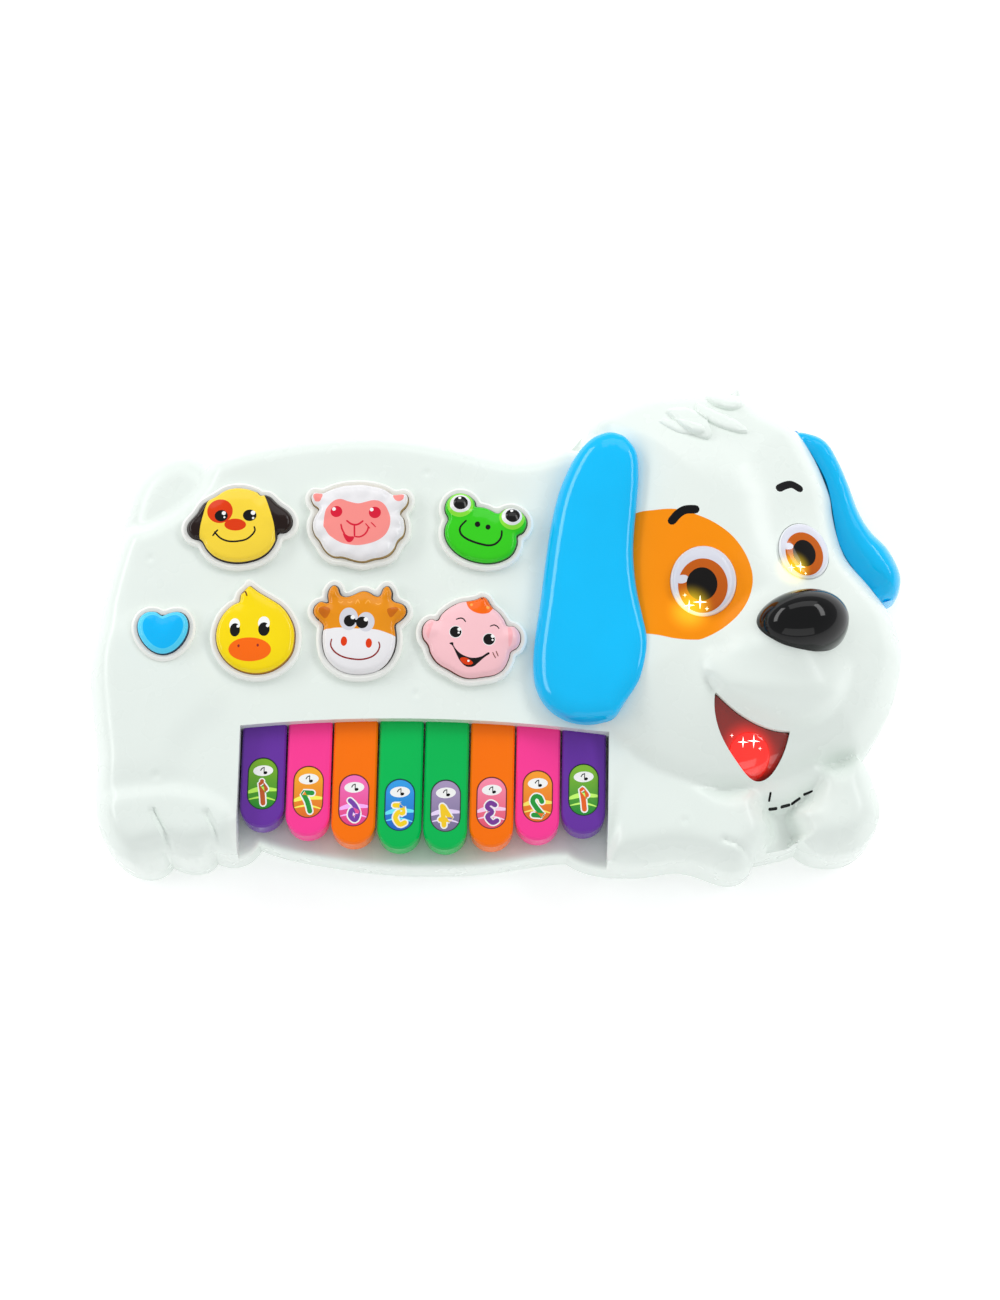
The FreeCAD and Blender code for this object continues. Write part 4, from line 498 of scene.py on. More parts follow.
STRANDS = [
    (1.6, curve([(62.6, 78.3), (65.7, 79.4), (69.3, 78.9), (75, 77), (80, 75), (80, 71.5),
                 (72.4, 71.8), (67.3, 74.2)], 4)),
    (2.6, curve([(66, 84), (73.4, 85.6), (78, 83.4), (81.4, 80), (83.2, 75.8), (83.6, 71.8),
                 (81.8, 69.3), (77.5, 70.8), (73.4, 73.6), (69.3, 78.2)], 4)),
    (2.4, curve([(78, 88), (83, 85.8), (88.7, 82.9), (93.8, 79.8), (97.6, 76.7), (98.4, 74.3),
                 (95.8, 73.6), (91.7, 74), (86.6, 75.8), (82, 78.6), (78, 82.2)], 4)),
    (3.0, curve([(82, 93), (88.3, 94.6), (92.5, 98), (96.5, 104.5), (98.4, 97), (97.6, 91),
                 (96.1, 87.2), (92.4, 85.2), (88.3, 85.6), (84.2, 88)], 4)),
]
CREASES = [  # half width, depth, line
    (1.1, 2.0, [(-132.6, -84), (-128.2, -91.6), (-126, -98.4), (-126, -106)]),
    (1.1, 1.6, [(-112.1, -84), (-108.9, -90), (-107.5, -96.9), (-108, -104)]),
    (1.2, 1.4, [(89.5, -90), (94.9, -91.9), (99, -95.2), (101.5, -99)]),
    (1.0, 1.2, [(117.5, -85.3), (122.8, -85.2)]),
    (1.6, 1.2, [(82.3, -30.8), (84.6, -34)]),
]
SINK_MARKS = [(-139.1, 19.8), (-29.9, 57.8), (-31.9, -34.0), (-132.4, -69.1), (73.9, -83.0)]


def quarter(share):
    """The profile of a quarter round, for shares from 0 at the rim to 1."""
    return np.sqrt(np.clip(1 - (1 - np.clip(share, 0, 1)) ** 2, 0, 1))


def half_wave(share):
    """A gentler rise than a quarter round."""
    return np.sin(math.pi / 2 * np.clip(share, 0, 1))


def ease(share):
    """A rise that starts and ends level."""
    share = np.clip(share, 0, 1)
    return share * share * (3 - 2 * share)


def blend_max(a, b, width):
    """The higher of two surfaces, with the valley between them filled softly."""
    overlap = np.clip(1 - np.abs(a - b) / width, 0, 1)
    return np.maximum(a, b) + overlap ** 2 * width / 4


def line_distance(x, y, line):
    """Distance from an open line."""
    nearest = np.full(x.shape, np.inf)
    for (x1, y1), (x2, y2) in zip(line, line[1:]):
        dx, dy = x2 - x1, y2 - y1
        along = np.clip(((x - x1) * dx + (y - y1) * dy) / (dx * dx + dy * dy), 0, 1)
        nearest = np.minimum(nearest, np.hypot(x - x1 - along * dx, y - y1 - along * dy))
    return nearest


def head_height(x, y):
    """The head's dome, with its rounded shoulder, and the muzzle on it."""
    inside = depth(x, y, HEAD)
    height = EDGE + 18.0 * quarter(inside / 12) + 21.0 * half_wave(inside / 52)
    muzzle = depth_near(x, y, MUZZLE, 1.0)
    lip = np.clip((-18 - y) / 16, 0, 1)
    rise = lip * quarter(muzzle / 16) + (1 - lip) * ease(muzzle / 26)
    return np.where(inside > 0, height + 10.0 * rise, 0)


def moulded_height(x, y):
    """The body, tail, legs, head and paws, each with its own swell, before any small detail."""
    height = EDGE + (DECK - EDGE) * quarter(depth(x, y, BODY) / 12)
    height = height + 1.6 * ease(depth_near(x, y, HAUNCH, 1.0) / 14)
    height = height + 2.6 * ease(depth_near(x, y, HIND_PAW, 1.0) / 9)
    for loop, top, edge, width in ((TAIL, 33.0, 14, 1.5), (LEG, 38.5, 12, 3.0),
                                   (CHIN, 33.0, 8, 2.0), (PANEL, 23.0, 3, 1.0)):
        inside = depth_near(x, y, loop, 1.0)
        swell = EDGE + (top - EDGE) * quarter(inside / edge)
        height = np.where(inside > 0, blend_max(height, swell, width), height)
    height = blend_max(height, head_height(x, y), 2.5)
    inside = depth_near(x, y, PAW_RIGHT, 1.0)
    swell = EDGE + 20.0 * quarter(inside / 13)
    height = np.where(inside > 0, blend_max(height, swell, 1.5), height)
    edge = depth(x, y, SILHOUETTE)
    return np.where(edge < 9, np.minimum(height, EDGE + 30.0 * quarter(edge / 9)), height)


def blurred(function, low, high, cell=0.75):
    """A height function smoothed over about a millimetre."""
    x, y = (np.arange(a, b, cell) for a, b in zip(low, high))
    z = function(*np.meshgrid(x, y, indexing="ij"))
    weights = np.array([1, 4, 6, 4, 1]) / 16
    for axis in (0, 1, 0, 1):
        z = sum(share * np.roll(z, shift, axis)
                for share, shift in zip(weights, (-2, -1, 0, 1, 2)))

    def at(u, v):
        across = np.clip((u - x[0]) / cell, 0, len(x) - 1.001)
        along = np.clip((v - y[0]) / cell, 0, len(y) - 1.001)
        i, j = across.astype(int), along.astype(int)
        p, q = across - i, along - j
        return ((z[i, j] * (1 - q) + z[i, j + 1] * q) * (1 - p)
                + (z[i + 1, j] * (1 - q) + z[i + 1, j + 1] * q) * p)
    return at


def shell_height(x, y):
    """Height of the front shell's outer face over the plan."""
    x, y = np.asarray(x, float), np.asarray(y, float)
    inner = ease((depth(x, y, SILHOUETTE) - 0.8) / 2.5)
    height = moulded_height(x, y) * (1 - inner) + smooth_height(x, y) * inner
    for rise, loop in STRANDS:
        height = height + rise * quarter(depth_near(x, y, loop, 1.0) / 3.2)
    for half, low, line in CREASES:
        height = height - low * np.exp(-(line_distance(x, y, curve(line, 4, False)) / half) ** 2)
    for place in SINK_MARKS:
        ring = np.hypot(x - place[0], y - place[1])
        height = height - 0.5 * np.exp(-(ring / 1.3) ** 2) + 0.16 * np.exp(-(ring - 2.4) ** 2)
    return height


def tray_height(x, y):
    """The floor under the keys, rounded off at the toy's lower edge."""
    return EDGE + (TRAY - EDGE) * quarter(depth(x, y, SILHOUETTE) / 2.5)


def shell_inside(x, y):
    """Height of the front shell's inner face, which meets the parting plane at the wall."""
    ceiling = shell_height(x, y) - WALL
    inside = depth(x, y, SILHOUETTE)
    z = PARTING + (ceiling - PARTING) * np.clip((inside - WALL) / 1.5, 0, 1)
    beside = -depth(x, y, KEY_WELL)
    under_tray = TRAY - WALL
    near = under_tray + (z - under_tray) * np.clip((beside - 2) / 1.5, 0, 1)
    return np.minimum(z, np.maximum(near, PARTING))


def key_well():
    """The opening that the keys lie in, running out past the lower edge."""
    half = (WELL_RIGHT - WELL_LEFT) / 2
    middle = (WELL_RIGHT + WELL_LEFT) / 2
    rise = WELL_BACK - WELL_BACK_END
    radius = (half ** 2 + rise ** 2) / (2 * rise)
    x = np.linspace(WELL_LEFT, WELL_RIGHT, 120)
    back = np.c_[x, WELL_BACK - radius + np.sqrt(radius ** 2 - (x - middle) ** 2)]
    left = np.c_[np.full(60, WELL_LEFT), np.linspace(-115, WELL_BACK_END, 61)[:-1]]
    right = np.c_[np.full(60, WELL_RIGHT), np.linspace(WELL_BACK_END, -115, 61)[1:]]
    return np.vstack([left, back, right])


def cap_loop(name):
    """The outline of a button's cap below its rounded edge."""
    return node_loop(name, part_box(name)[1].z / MM - 1.0, 0.55)[0]


def rim_loops(name):
    """Outer and inner edge of the rim that a button stands in, a hair's breadth from it."""
    low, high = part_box(name)
    centre = ((low + high) / MM / 2)[:2]
    found = [loop for loop in RIMS if np.hypot(*(loop.min(0) / 2 + loop.max(0) / 2 - centre)) < 6]
    return found[0], moved(cap_loop(name), RIM_GAP)


def pushed(loop, silhouette):
    """A loop moved out a little past the silhouette wherever the two run together."""
    near = np.clip(2.5 - np.abs(depth(loop[:, 0], loop[:, 1], silhouette)), 0, 1)[:, None]
    return loop + outward(loop) * near * 0.6


def rim_height(outer, inner):
    """A rim's top: rounded outside, with a small edge beside the button."""
    def height(x, y):
        round_outside = 0.9 * quarter(depth(x, y, outer) / 0.9)
        round_inside = 0.3 * quarter(-depth(x, y, inner) / 0.3)
        return RIM_TOP - 1.2 + round_outside + round_inside
    return height


def plane_at(x, y, reach=8.0):
    """The shell's tangent plane at a place, as a height function."""
    spots = shell_height([x - reach, x + reach, x, x], [y, y, y - reach, y + reach])
    slope_x, slope_y = (spots[1] - spots[0]) / 2 / reach, (spots[3] - spots[2]) / 2 / reach
    level = float(np.mean(spots))
    return lambda u, v: level + slope_x * (np.asarray(u) - x) + slope_y * (np.asarray(v) - y)


SILHOUETTE = node_loop("front_shell", PARTING, 1.2)[0]
BODY, TAIL, HEAD, CHIN, LEG, PAW_RIGHT = [
    pushed(loop, SILHOUETTE) for loop in (BODY, TAIL, HEAD, CHIN, LEG, PAW_RIGHT)]
smooth_height = blurred(moulded_height, SILHOUETTE.min(0) - 4, SILHOUETTE.max(0) + 4)
KEY_WELL = key_well()
RIMS = node_loop("front_shell", RIM_TOP, 0.6)
BUTTON_NAMES = [name for name in NODES if name.startswith("button_") and name != "button_domes"]
MOUTH = node_loop("front_shell", 25.5, 0.7)[0]
EYES = {"left": ((79.9, 8.9), (12.9, 14.4)), "right": ((120.2, 24.6), (10.4, 12.2))}
PATCH = curve([(46, 34), (53.4, 38.5), (61.0, 39.1), (69.0, 38.9), (77.1, 36.4), (84.2, 33.2),
               (91.2, 28.0), (96.2, 21.2), (98.9, 13.9), (99.1, 7.6), (97.1, 0.8),
               (93.1, -5.5), (87.1, -10.8), (80.1, -14.4), (76.2, -15.1), (69.2, -14.6),
               (62.2, -12.9), (54, -11), (46, -6)], 5)
BROWS = [stroke([(67.7, 34.1), (70.0, 36.8), (72.8, 38.4), (76.6, 38.5)], 3.6),
         stroke([(110.6, 50.4), (112.8, 51.9), (115.7, 53.0), (118.9, 51.9)], 3.2)]
STITCHES = [[(107.9, -75.3), (110.7, -74.8)], [(112.7, -74.2), (115.8, -73.3)],
            [(116.8, -72.9), (119.8, -70.8)], [(121.5, -69.4), (124.4, -68.3)],
            [(107.9, -70.0), (107.5, -72.7)]]


def make_front_shell():
    """The white moulding, with its rims, key well and printed patch, brows and stitches."""
    regions = [Region(PATCH, ORANGE_PRINT)]
    regions += [Region(brow, BLACK_PRINT) for brow in BROWS]
    regions += [Region(stroke(ends, 0.9), BLACK_PRINT) for ends in STITCHES]
    extra = [moved(SILHOUETTE, -step) for step in (0.15, 0.5, 1.1, 2.0, 3.0)]
    regions.append(Region(KEY_WELL, level=tray_height))
    for name in BUTTON_NAMES:
        outer, inner = rim_loops(name)
        regions.append(Region(outer, CREAM, rim_height(outer, inner)))
        regions.append(Region(inner, hole=True))
        extra += [moved(outer, -step) for step in (0.1, 0.35, 0.9)]
        extra += [moved(inner, step) for step in (0.08, 0.3)]
    regions.append(Region(MOUTH, hole=True))
    for (x, y), (half_x, half_y) in EYES.values():
        regions.append(Region(ellipse(x, y, half_x + 0.15, half_y + 0.15, count=80), hole=True))
    for rise, loop in STRANDS:
        extra += [moved(even(loop, 0.6), -step) for step in (-0.1, 0.15, 0.5, 1.0)]
    piece = relief("front_shell_skin", "case", SILHOUETTE, shell_height,
                   shell_inside, WHITE, regions, extra, spacing=1.3)
    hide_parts("front_shell")
    return piece


# ---------------------------------------------------------------------------------------------
# Ears, nose, eyes and mouth
# ---------------------------------------------------------------------------------------------
EAR_LEFT = curve([(45.9, -43.9), (49.6, -38.9), (55.1, -30.5), (57.8, -21.3), (58.2, -13),
                  (56.5, -4.7), (54.1, 6.1), (52.8, 17), (52.7, 27.2), (53.8, 42.6),
                  (54.4, 53.8), (53.7, 63.1), (50.3, 69.1), (47.1, 71.6), (42.2, 72.8),
                  (35.7, 70.5), (30, 64.4), (25.3, 54.9), (22.2, 45.3), (19.9, 33.4),
                  (18.1, 19.7), (16.3, 2.8), (14.5, -11.4), (13.9, -22.2), (15.2, -31.3),
                  (19.3, -38.6), (25.8, -43.5), (32.9, -45.4), (40.9, -45.2)], 6)
EAR_RIGHT_OUTER = [(118.5, 84.8), (123.2, 85.1), (129.5, 83.1), (134.2, 79), (138.2, 71.4),
                   (141.7, 62.6), (145.8, 50.7), (150.8, 42.2), (156.9, 35.7), (161, 28.2),
                   (162.4, 21.7), (160.2, 15.2), (153.9, 12.8)]
EAR_RIGHT_INNER = [(149.5, 17.1), (144.4, 22.5), (139.3, 30), (136.3, 37.4), (134.8, 46.1),
                   (133.4, 55.9), (131.4, 63.6), (127.3, 71.7), (123.1, 78.8)]
EAR_LOW, EAR_SLOPE, EAR_RISE = 42.0, 0.25, 5.6
EAR_RIGHT_LOW, EAR_RIGHT_EDGE, EAR_RIGHT_TOP = 9.0, 17.0, 33.0
EAR_BLUE = plastic("ear_blue", (0, 192, 252), 0.12, coat=0.35, change=0.03, shine=0.15)
NOSE_BLACK = plastic("nose_black", (2, 2, 3), 0.07, grain=120.0, relief_depth=1e-5, shine=0.3)


def ear_rows(outline):
    """Rows of points that give an ear's rounded edge its shape."""
    return [moved(outline, -step) for step in (0.06, 0.25, 0.6, 1.1, 1.8, 2.7, 3.8, 5.0, 6.4)]


def make_ears():
    """Two glossy blue ears: one over the head's side, one beside the head."""
    outline = even(EAR_LEFT, 0.8)

    def top(x, y):
        inside = depth(x, y, outline)
        base = EAR_LOW + EAR_SLOPE * (np.asarray(x) - outline[:, 0].min())
        return base + EAR_RISE * (0.8 * quarter(inside / 7.5) + 0.2 * half_wave(inside / 18))

    left = relief("ear_left_gloss", "case", outline, top,
                  lambda x, y: np.minimum(shell_height(x, y), top(x, y)) - 0.8, EAR_BLUE,
                  extra=ear_rows(outline), spacing=1.6)
    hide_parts("ear_left")
    outline = even(curve(EAR_RIGHT_OUTER + EAR_RIGHT_INNER, 6), 0.8)
    outer_edge = curve(EAR_RIGHT_OUTER, 6, False)
    head_edge = curve(EAR_RIGHT_INNER, 6, False)

    def side(x, y):
        outside, beside = line_distance(x, y, outer_edge), line_distance(x, y, head_edge)
        crown = 0.65 * quarter(outside / 6) + 0.35 * half_wave(outside / 13)
        crown = EAR_RIGHT_EDGE + (EAR_RIGHT_TOP - EAR_RIGHT_EDGE) * crown
        return crown - 7.0 * (1 - half_wave(beside / 11)) * quarter(outside / 6)

    right = relief("ear_right_gloss", "case", outline, side,
                   level_at(EAR_RIGHT_LOW), EAR_BLUE, extra=ear_rows(outline), spacing=1.6)
    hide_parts("ear_right")


def make_nose():
    """The egg-shaped black nose, fuller at its right-hand end."""
    centre, half_x, half_y, low, top = (118.0, -8.2), 18.7, 13.4, 57.0, 76.6
    fuller, slant = 0.06, 0.10
    angle = np.linspace(0, math.tau, 150, endpoint=False)
    egg = 1 + fuller * np.cos(angle)
    outline = np.c_[centre[0] + half_x * np.cos(angle),
                    centre[1] + half_y * egg * np.sin(angle) + slant * half_x * np.cos(angle)]

    def height(x, y):
        across = (np.asarray(x) - centre[0]) / half_x
        along = (np.asarray(y) - centre[1] - slant * half_x * across) / half_y
        along = along / (1 + fuller * across)
        return low + (top - low) * np.sqrt(np.clip(1 - across ** 2 - along ** 2, 0, 1))

    rows = [moved(outline, -step) for step in (0.05, 0.2, 0.45, 0.8, 1.3, 1.9, 2.6)]
    piece = relief("nose_gloss", "case", outline, height,
                   lambda x, y: shell_height(x, y) - 0.6, NOSE_BLACK, extra=rows, spacing=0.9)
    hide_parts("nose")


def star(x, y, long, wide):
    """A four-pointed star."""
    reach = [long, wide] * 4
    angle = np.arange(8) * math.tau / 8
    return np.c_[x + reach * np.cos(angle), y + reach * np.sin(angle)]


def glow_from(material, places, colour, strength, reach):
    """Light inside translucent plastic that fades away from each lamp's place."""
    tree = material.node_tree
    principled = tree.nodes["Principled BSDF"]
    position = tree.nodes.new("ShaderNodeTexCoord").outputs["Object"]
    total = None
    for place in places:
        away = tree.nodes.new("ShaderNodeVectorMath")
        away.operation = "DISTANCE"
        away.inputs[1].default_value = [v * MM for v in place]
        tree.links.new(position, away.inputs[0])
        fade = tree.nodes.new("ShaderNodeMapRange")
        fade.interpolation_type = "SMOOTHERSTEP"
        fade.inputs["From Min"].default_value = 0.0
        fade.inputs["From Max"].default_value = reach * MM
        fade.inputs["To Min"].default_value = strength
        fade.inputs["To Max"].default_value = 0.0
        tree.links.new(away.outputs["Value"], fade.inputs["Value"])
        if total is None:
            total = fade.outputs["Result"]
        else:
            both = tree.nodes.new("ShaderNodeMath")
            both.operation = "ADD"
            tree.links.new(total, both.inputs[0])
            tree.links.new(fade.outputs["Result"], both.inputs[1])
            total = both.outputs["Value"]
    principled.inputs["Emission Color"].default_value = (*linear(*colour), 1)
    tree.links.new(total, principled.inputs["Emission Strength"])
    return material


def make_eye(side, centre, half, pupil_half, iris_half, iris_shift, pupil_shift, lamp, sparks):
    """A printed eye under its clear dome, with the lamp's glow at its lower left."""
    x, y = centre
    lamp_place = (lamp[0], lamp[1], float(shell_height([lamp[0]], [lamp[1]])[0]) + 2)
    prints = {"white": (218, 219, 230), "rim": (238, 240, 244), "brown": (196, 92, 10),
              "pupil": (8, 5, 4)}
    paints = {}
    for part, colour in prints.items():
        paint = plastic(f"eye_{side}_{part}", colour, 0.1, coat=0.35, grain=90.0, shine=0.1)
        paints[part] = glow_from(paint, [lamp_place], (255, 214, 30), 0.9, half[0] * 0.85)
    around = {"left": ORANGE_PRINT, "right": WHITE}[side]
    glow_from(around, [lamp_place], (255, 226, 60), 0.45, half[0] * 0.9)
    spark = glowing(f"eye_{side}_spark", (255, 250, 220), (255, 246, 190), 3.0)
    outline = ellipse(x, y, *half, count=90)
    plane = plane_at(x, y)

    def height(u, v):
        inside = depth(u, v, outline)
        return plane(u, v) + 0.2 + 4.0 * (0.55 * quarter(inside / 3.0)
                                          + 0.45 * half_wave(inside / half[0]))

    iris = (x + iris_shift[0], y + iris_shift[1])
    pupil = (x + pupil_shift[0], y + pupil_shift[1])
    notch = (iris[0] - iris_half[0] * 0.84, iris[1] + iris_half[1] * 0.22)
    regions = [Region(ellipse(x, y, half[0] - 0.7, half[1] - 0.7, count=80), paints["white"]),
               Region(ellipse(*iris, *iris_half, count=70), paints["brown"]),
               Region(ellipse(*notch, iris_half[0] * 0.26, iris_half[1] * 0.16, 8),
                      paints["white"]),
               Region(ellipse(*pupil, *pupil_half, count=60), paints["pupil"])]
    for px, py, long in sparks:
        regions.append(Region(star(px, py, long, long * 0.16), spark))
    rows = [moved(outline, -step) for step in (0.08, 0.3, 0.7, 1.3, 2.0)]
    piece = relief(f"eye_{side}_domed", "case", outline, height,
                   lambda u, v: plane(u, v) - 3.0, paints["rim"], regions, rows, spacing=0.7)
    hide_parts(f"eye_lens_{side}", f"eye_print_{side}")


def make_mouth():
    """The red light window in the open mouth, with a tongue and the lamp shining through."""
    outline = even(moved(MOUTH, -0.15), 0.7)
    tongue = ellipse(98.9, -57.2, 8.2, 8.4, count=60)
    lamp = [(97.0, -53.5, 42.0), (100.5, -57.5, 40.0)]
    dark = plastic("mouth_red", (150, 22, 6), 0.12, coat=1.0, grain=90.0)
    glow_from(dark, lamp, (255, 20, 5), 0.9, 13.0)
    lit = plastic("tongue_red", (225, 24, 12), 0.1, coat=1.0, grain=90.0)
    glow_from(lit, lamp, (255, 16, 4), 0.9, 12.0)
    spark = glowing("mouth_spark", (255, 240, 235), (255, 214, 205), 3.0)

    def height(x, y):
        inside = depth_near(x, y, tongue, 1.0)
        return shell_height(x, y) - 3.0 + 1.6 * quarter(inside / 7.0)

    stars = [(96.2, -52.8, 2.2), (100.4, -52.2, 2.6), (91.8, -50.4, 0.8), (103.0, -54.7, 0.8)]
    regions = [Region(tongue, lit)]
    regions += [Region(star(x, y, long, long * 0.16), spark) for x, y, long in stars]
    piece = relief("mouth_window", "case", outline, height,
                   lambda x, y: shell_height(x, y) - 5.0, dark, regions,
                   [moved(tongue, -step) for step in (0.3, 1.0, 2.0)], spacing=0.8)
    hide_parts("mouth_lens")


# ---------------------------------------------------------------------------------------------
# Keys
# ---------------------------------------------------------------------------------------------
PURPLE, PINK, TANGERINE, GREEN = (104, 52, 160), (255, 62, 150), (255, 116, 4), (0, 186, 84)
KEY_LOOKS = [  # key colour and slot, label from, label to, digit, digit colour
    (PURPLE, "key_purple", (120, 176, 20), (8, 140, 20), 8, (190, 84, 20)),
    (PINK, "key_pink", (255, 176, 20), (232, 110, 10), 7, (20, 150, 50)),
    (TANGERINE, "key_orange", (250, 110, 190), (236, 60, 130), 6, (120, 60, 170)),
    (GREEN, "key_green", (40, 160, 236), (0, 100, 200), 5, (250, 214, 20)),
    (GREEN, "key_green", (170, 150, 190), (120, 110, 150), 4, (250, 206, 20)),
    (TANGERINE, "key_orange", (255, 140, 170), (232, 80, 110), 3, (120, 50, 150)),
    (PINK, "key_pink", (255, 160, 30), (232, 104, 10), 2, (20, 150, 50)),
    (PURPLE, "key_purple", (130, 190, 40), (10, 140, 40), 1, (232, 96, 20)),
]
ONE = [[(0.2, 0.72), (0.5, 0.98), (0.55, 0.94), (0.5, 0.5), (0.5, 0.02)]]
DOTTED_ONE = 8  # the figure one with a dot over it, on the key at the other end
DIGITS = {  # strokes in a box one wide and one high, seen the right way round
    1: ONE,
    2: [[(0.1, 0.72), (0.25, 0.93), (0.6, 0.97), (0.85, 0.75), (0.6, 0.42), (0.15, 0.06),
         (0.2, 0.04), (0.9, 0.06)]],
    3: [[(0.15, 0.88), (0.5, 0.98), (0.8, 0.78), (0.45, 0.54), (0.85, 0.3), (0.5, 0.02),
         (0.1, 0.12)]],
    4: [[(0.68, 0.02), (0.68, 0.5), (0.68, 0.96)], [(0.6, 0.92), (0.1, 0.34), (0.14, 0.3),
                                                  (0.92, 0.3)]],
    5: [[(0.82, 0.95), (0.28, 0.95), (0.24, 0.92), (0.2, 0.58), (0.55, 0.62), (0.85, 0.34),
         (0.55, 0.03), (0.12, 0.12)]],
    6: [[(0.72, 0.96), (0.35, 0.7), (0.18, 0.32), (0.45, 0.02), (0.8, 0.22), (0.62, 0.5),
         (0.25, 0.42)]],
    7: [[(0.1, 0.93), (0.8, 0.94), (0.84, 0.9), (0.55, 0.5), (0.4, 0.03)]],
    DOTTED_ONE: ONE,
}
DIGIT_WIDE, DIGIT_TALL, SLANT = 4.8, 8.2, 0.9
KEY_BOTTOM, KEY_EDGE, RECESS = 24.5, 1.1, 0.6


def key_height(outline, top):
    """A key's flat top with its rounded edge."""
    return lambda x, y: top - KEY_EDGE + KEY_EDGE * quarter(depth(x, y, outline) / KEY_EDGE)


def within_face(regions, face):
    """The same regions, with all but the first kept inside the printed face."""
    for region in regions[1:]:
        region.within = face
    return regions


def make_key(number):
    """One coloured key and the printed plate in its recess."""
    colour, slot, light, dark, digit, ink = KEY_LOOKS[number - 1]
    key, label = f"key_{number}", f"key_label_{number}"
    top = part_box(key)[1].z / MM
    outline, recess = node_loop(key, top, 0.7)[:2]
    moulded = plastic(f"{slot}_{number}", colour, 0.2, coat=0.1, shine=0.15)
    rows = [moved(outline, -step) for step in (0.1, 0.35, 0.7, 1.1)]
    piece = relief(f"{key}_gloss", key, outline, key_height(outline, top),
                   level_at(KEY_BOTTOM), moulded,
                   [Region(recess, level=level_at(top - RECESS))], rows, spacing=1.6)
    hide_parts(key)
    plate_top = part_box(label)[1].z / MM
    plate = node_loop(label, plate_top, 0.5)[0]
    x, y = plate.min(0) / 2 + plate.max(0) / 2
    paper = printed_paper(f"{label}_paper", light, dark, y)
    # painted shade: a dark ring round the label's edge stands for the shadow in the key's recess;
    # it also colours the plate's side and bottom
    recess_shade = plastic(f"{label}_border", tuple(v * 0.42 for v in dark), 0.3)
    white = plastic(f"{label}_white", (246, 246, 244), 0.3)
    fill = plastic(f"{label}_ink", ink, 0.3)
    wash = plastic(f"{label}_wash", tuple(min(255, v + 70) for v in light), 0.3)
    # the face is inset 0.35 mm, which leaves the painted recess shade as a ring round it
    face = even(moved(plate, -0.35), 0.5)
    upper_wash = stroke([(x - 5.6, y - 3.6), (x - 1, y - 2.2), (x + 5.6, y - 2.4)], 1.9, 0.5)
    lower_wash = stroke([(x - 5.2, y - 6.4), (x, y - 5.4), (x + 5.2, y - 6.6)], 0.8, 0.6)
    regions = [Region(face, paper), Region(upper_wash, wash), Region(lower_wash, wash)]
    # u runs backwards, because the digits are printed mirrored
    strokes = [[(x + DIGIT_WIDE / 2 - u * DIGIT_WIDE - SLANT * (v - 0.5),
                 y - 8.0 + v * DIGIT_TALL) for u, v in points] for points in DIGITS[digit]]
    for thickness, dot, paint in ((3.0, 1.3, white), (1.9, 0.8, fill)):
        regions += [Region(stroke(points, thickness, steps=5), paint) for points in strokes]
        if digit == DOTTED_ONE:
            regions.append(Region(ellipse(x - 0.3, y + 1.0, dot, dot), paint))
    regions.append(Region(ellipse(x, y + 5.2, 3.9, 2.15, 4.0, 36), white))
    regions.append(Region(ellipse(x + 0.9, y + 4.4, 0.8, 0.6, 20.0, 14), BLACK_PRINT))
    regions.append(Region(stroke([(x + 0.35, y + 4.4), (x + 0.35, y + 6.5)], 0.34),
                          BLACK_PRINT))
    regions.append(Region(stroke([(x + 0.35, y + 6.5), (x - 0.5, y + 6.1), (x - 1.0, y + 5.3)],
                                 0.4), BLACK_PRINT))
    piece = relief(f"{label}_print", key, plate, level_at(plate_top),
                   level_at(plate_top - 0.3), recess_shade, within_face(regions, face), spacing=1.2)
    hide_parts(label)


def printed_paper(name, light, dark, middle):
    """Glossy printed card whose ink darkens down the plate."""
    material = plastic(name, light, 0.28, coat=0.3)
    tree = material.node_tree
    principled = tree.nodes["Principled BSDF"]
    place = tree.nodes.new("ShaderNodeTexCoord")
    split = tree.nodes.new("ShaderNodeSeparateXYZ")
    tree.links.new(place.outputs["Object"], split.inputs["Vector"])
    fall = tree.nodes.new("ShaderNodeMapRange")
    fall.inputs["From Min"].default_value = (middle - 9) * MM
    fall.inputs["From Max"].default_value = (middle + 9) * MM
    tree.links.new(split.outputs["Y"], fall.inputs["Value"])
    tree.links.new(ramp(tree, fall.outputs["Result"], linear(*dark), linear(*light), 0.0, 1.0),
                   principled.inputs["Base Color"])
    return material


# ---------------------------------------------------------------------------------------------
# Buttons
# ---------------------------------------------------------------------------------------------
INKS = {
    "black": (10, 8, 8), "white": (240, 238, 240), "pale": (216, 216, 224),
    "glint": (252, 252, 250), "yellow": (253, 218, 62), "lemon": (255, 222, 0),
    "red": (226, 58, 0), "crimson": (222, 24, 56), "flesh": (255, 148, 142),
    "lime": (140, 232, 60), "green": (52, 208, 22), "leaf": (12, 96, 14),
    "orange": (255, 106, 0), "amber": (255, 176, 70), "maroon": (146, 34, 34),
    "tan": (236, 146, 12), "rust": (206, 108, 4), "bronze": (30, 12, 6), "umber": (112, 46, 18),
    "rose": (255, 200, 206), "blush": (255, 182, 188), "ochre": (176, 122, 10),
    "sky": (0, 186, 252), "ice": (84, 214, 255), "navy": (0, 62, 92), "gilt": (170, 140, 84),
}
inks_made = {}


def ink(name):
    """Glossy printing ink or coloured plastic, made once for each colour."""
    if name not in inks_made:
        inks_made[name] = plastic(f"ink_{name}", INKS[name], 0.16, coat=0.3, change=0.03,
                                  shine=0.15)
    return inks_made[name]


def spot(colour, x, y, half_x, half_y=None):
    """A printed oval."""
    return Region(ellipse(x, y, half_x, half_y or half_x, count=32), ink(colour))


def line(colour, width, *points):
    """A printed line with round ends, slightly thinner at them."""
    return Region(stroke(list(points), width, 0.15), ink(colour))


def area(colour, *points):
    """A printed shape with a smooth outline."""
    return Region(even(curve(points, 5), 0.5), ink(colour))
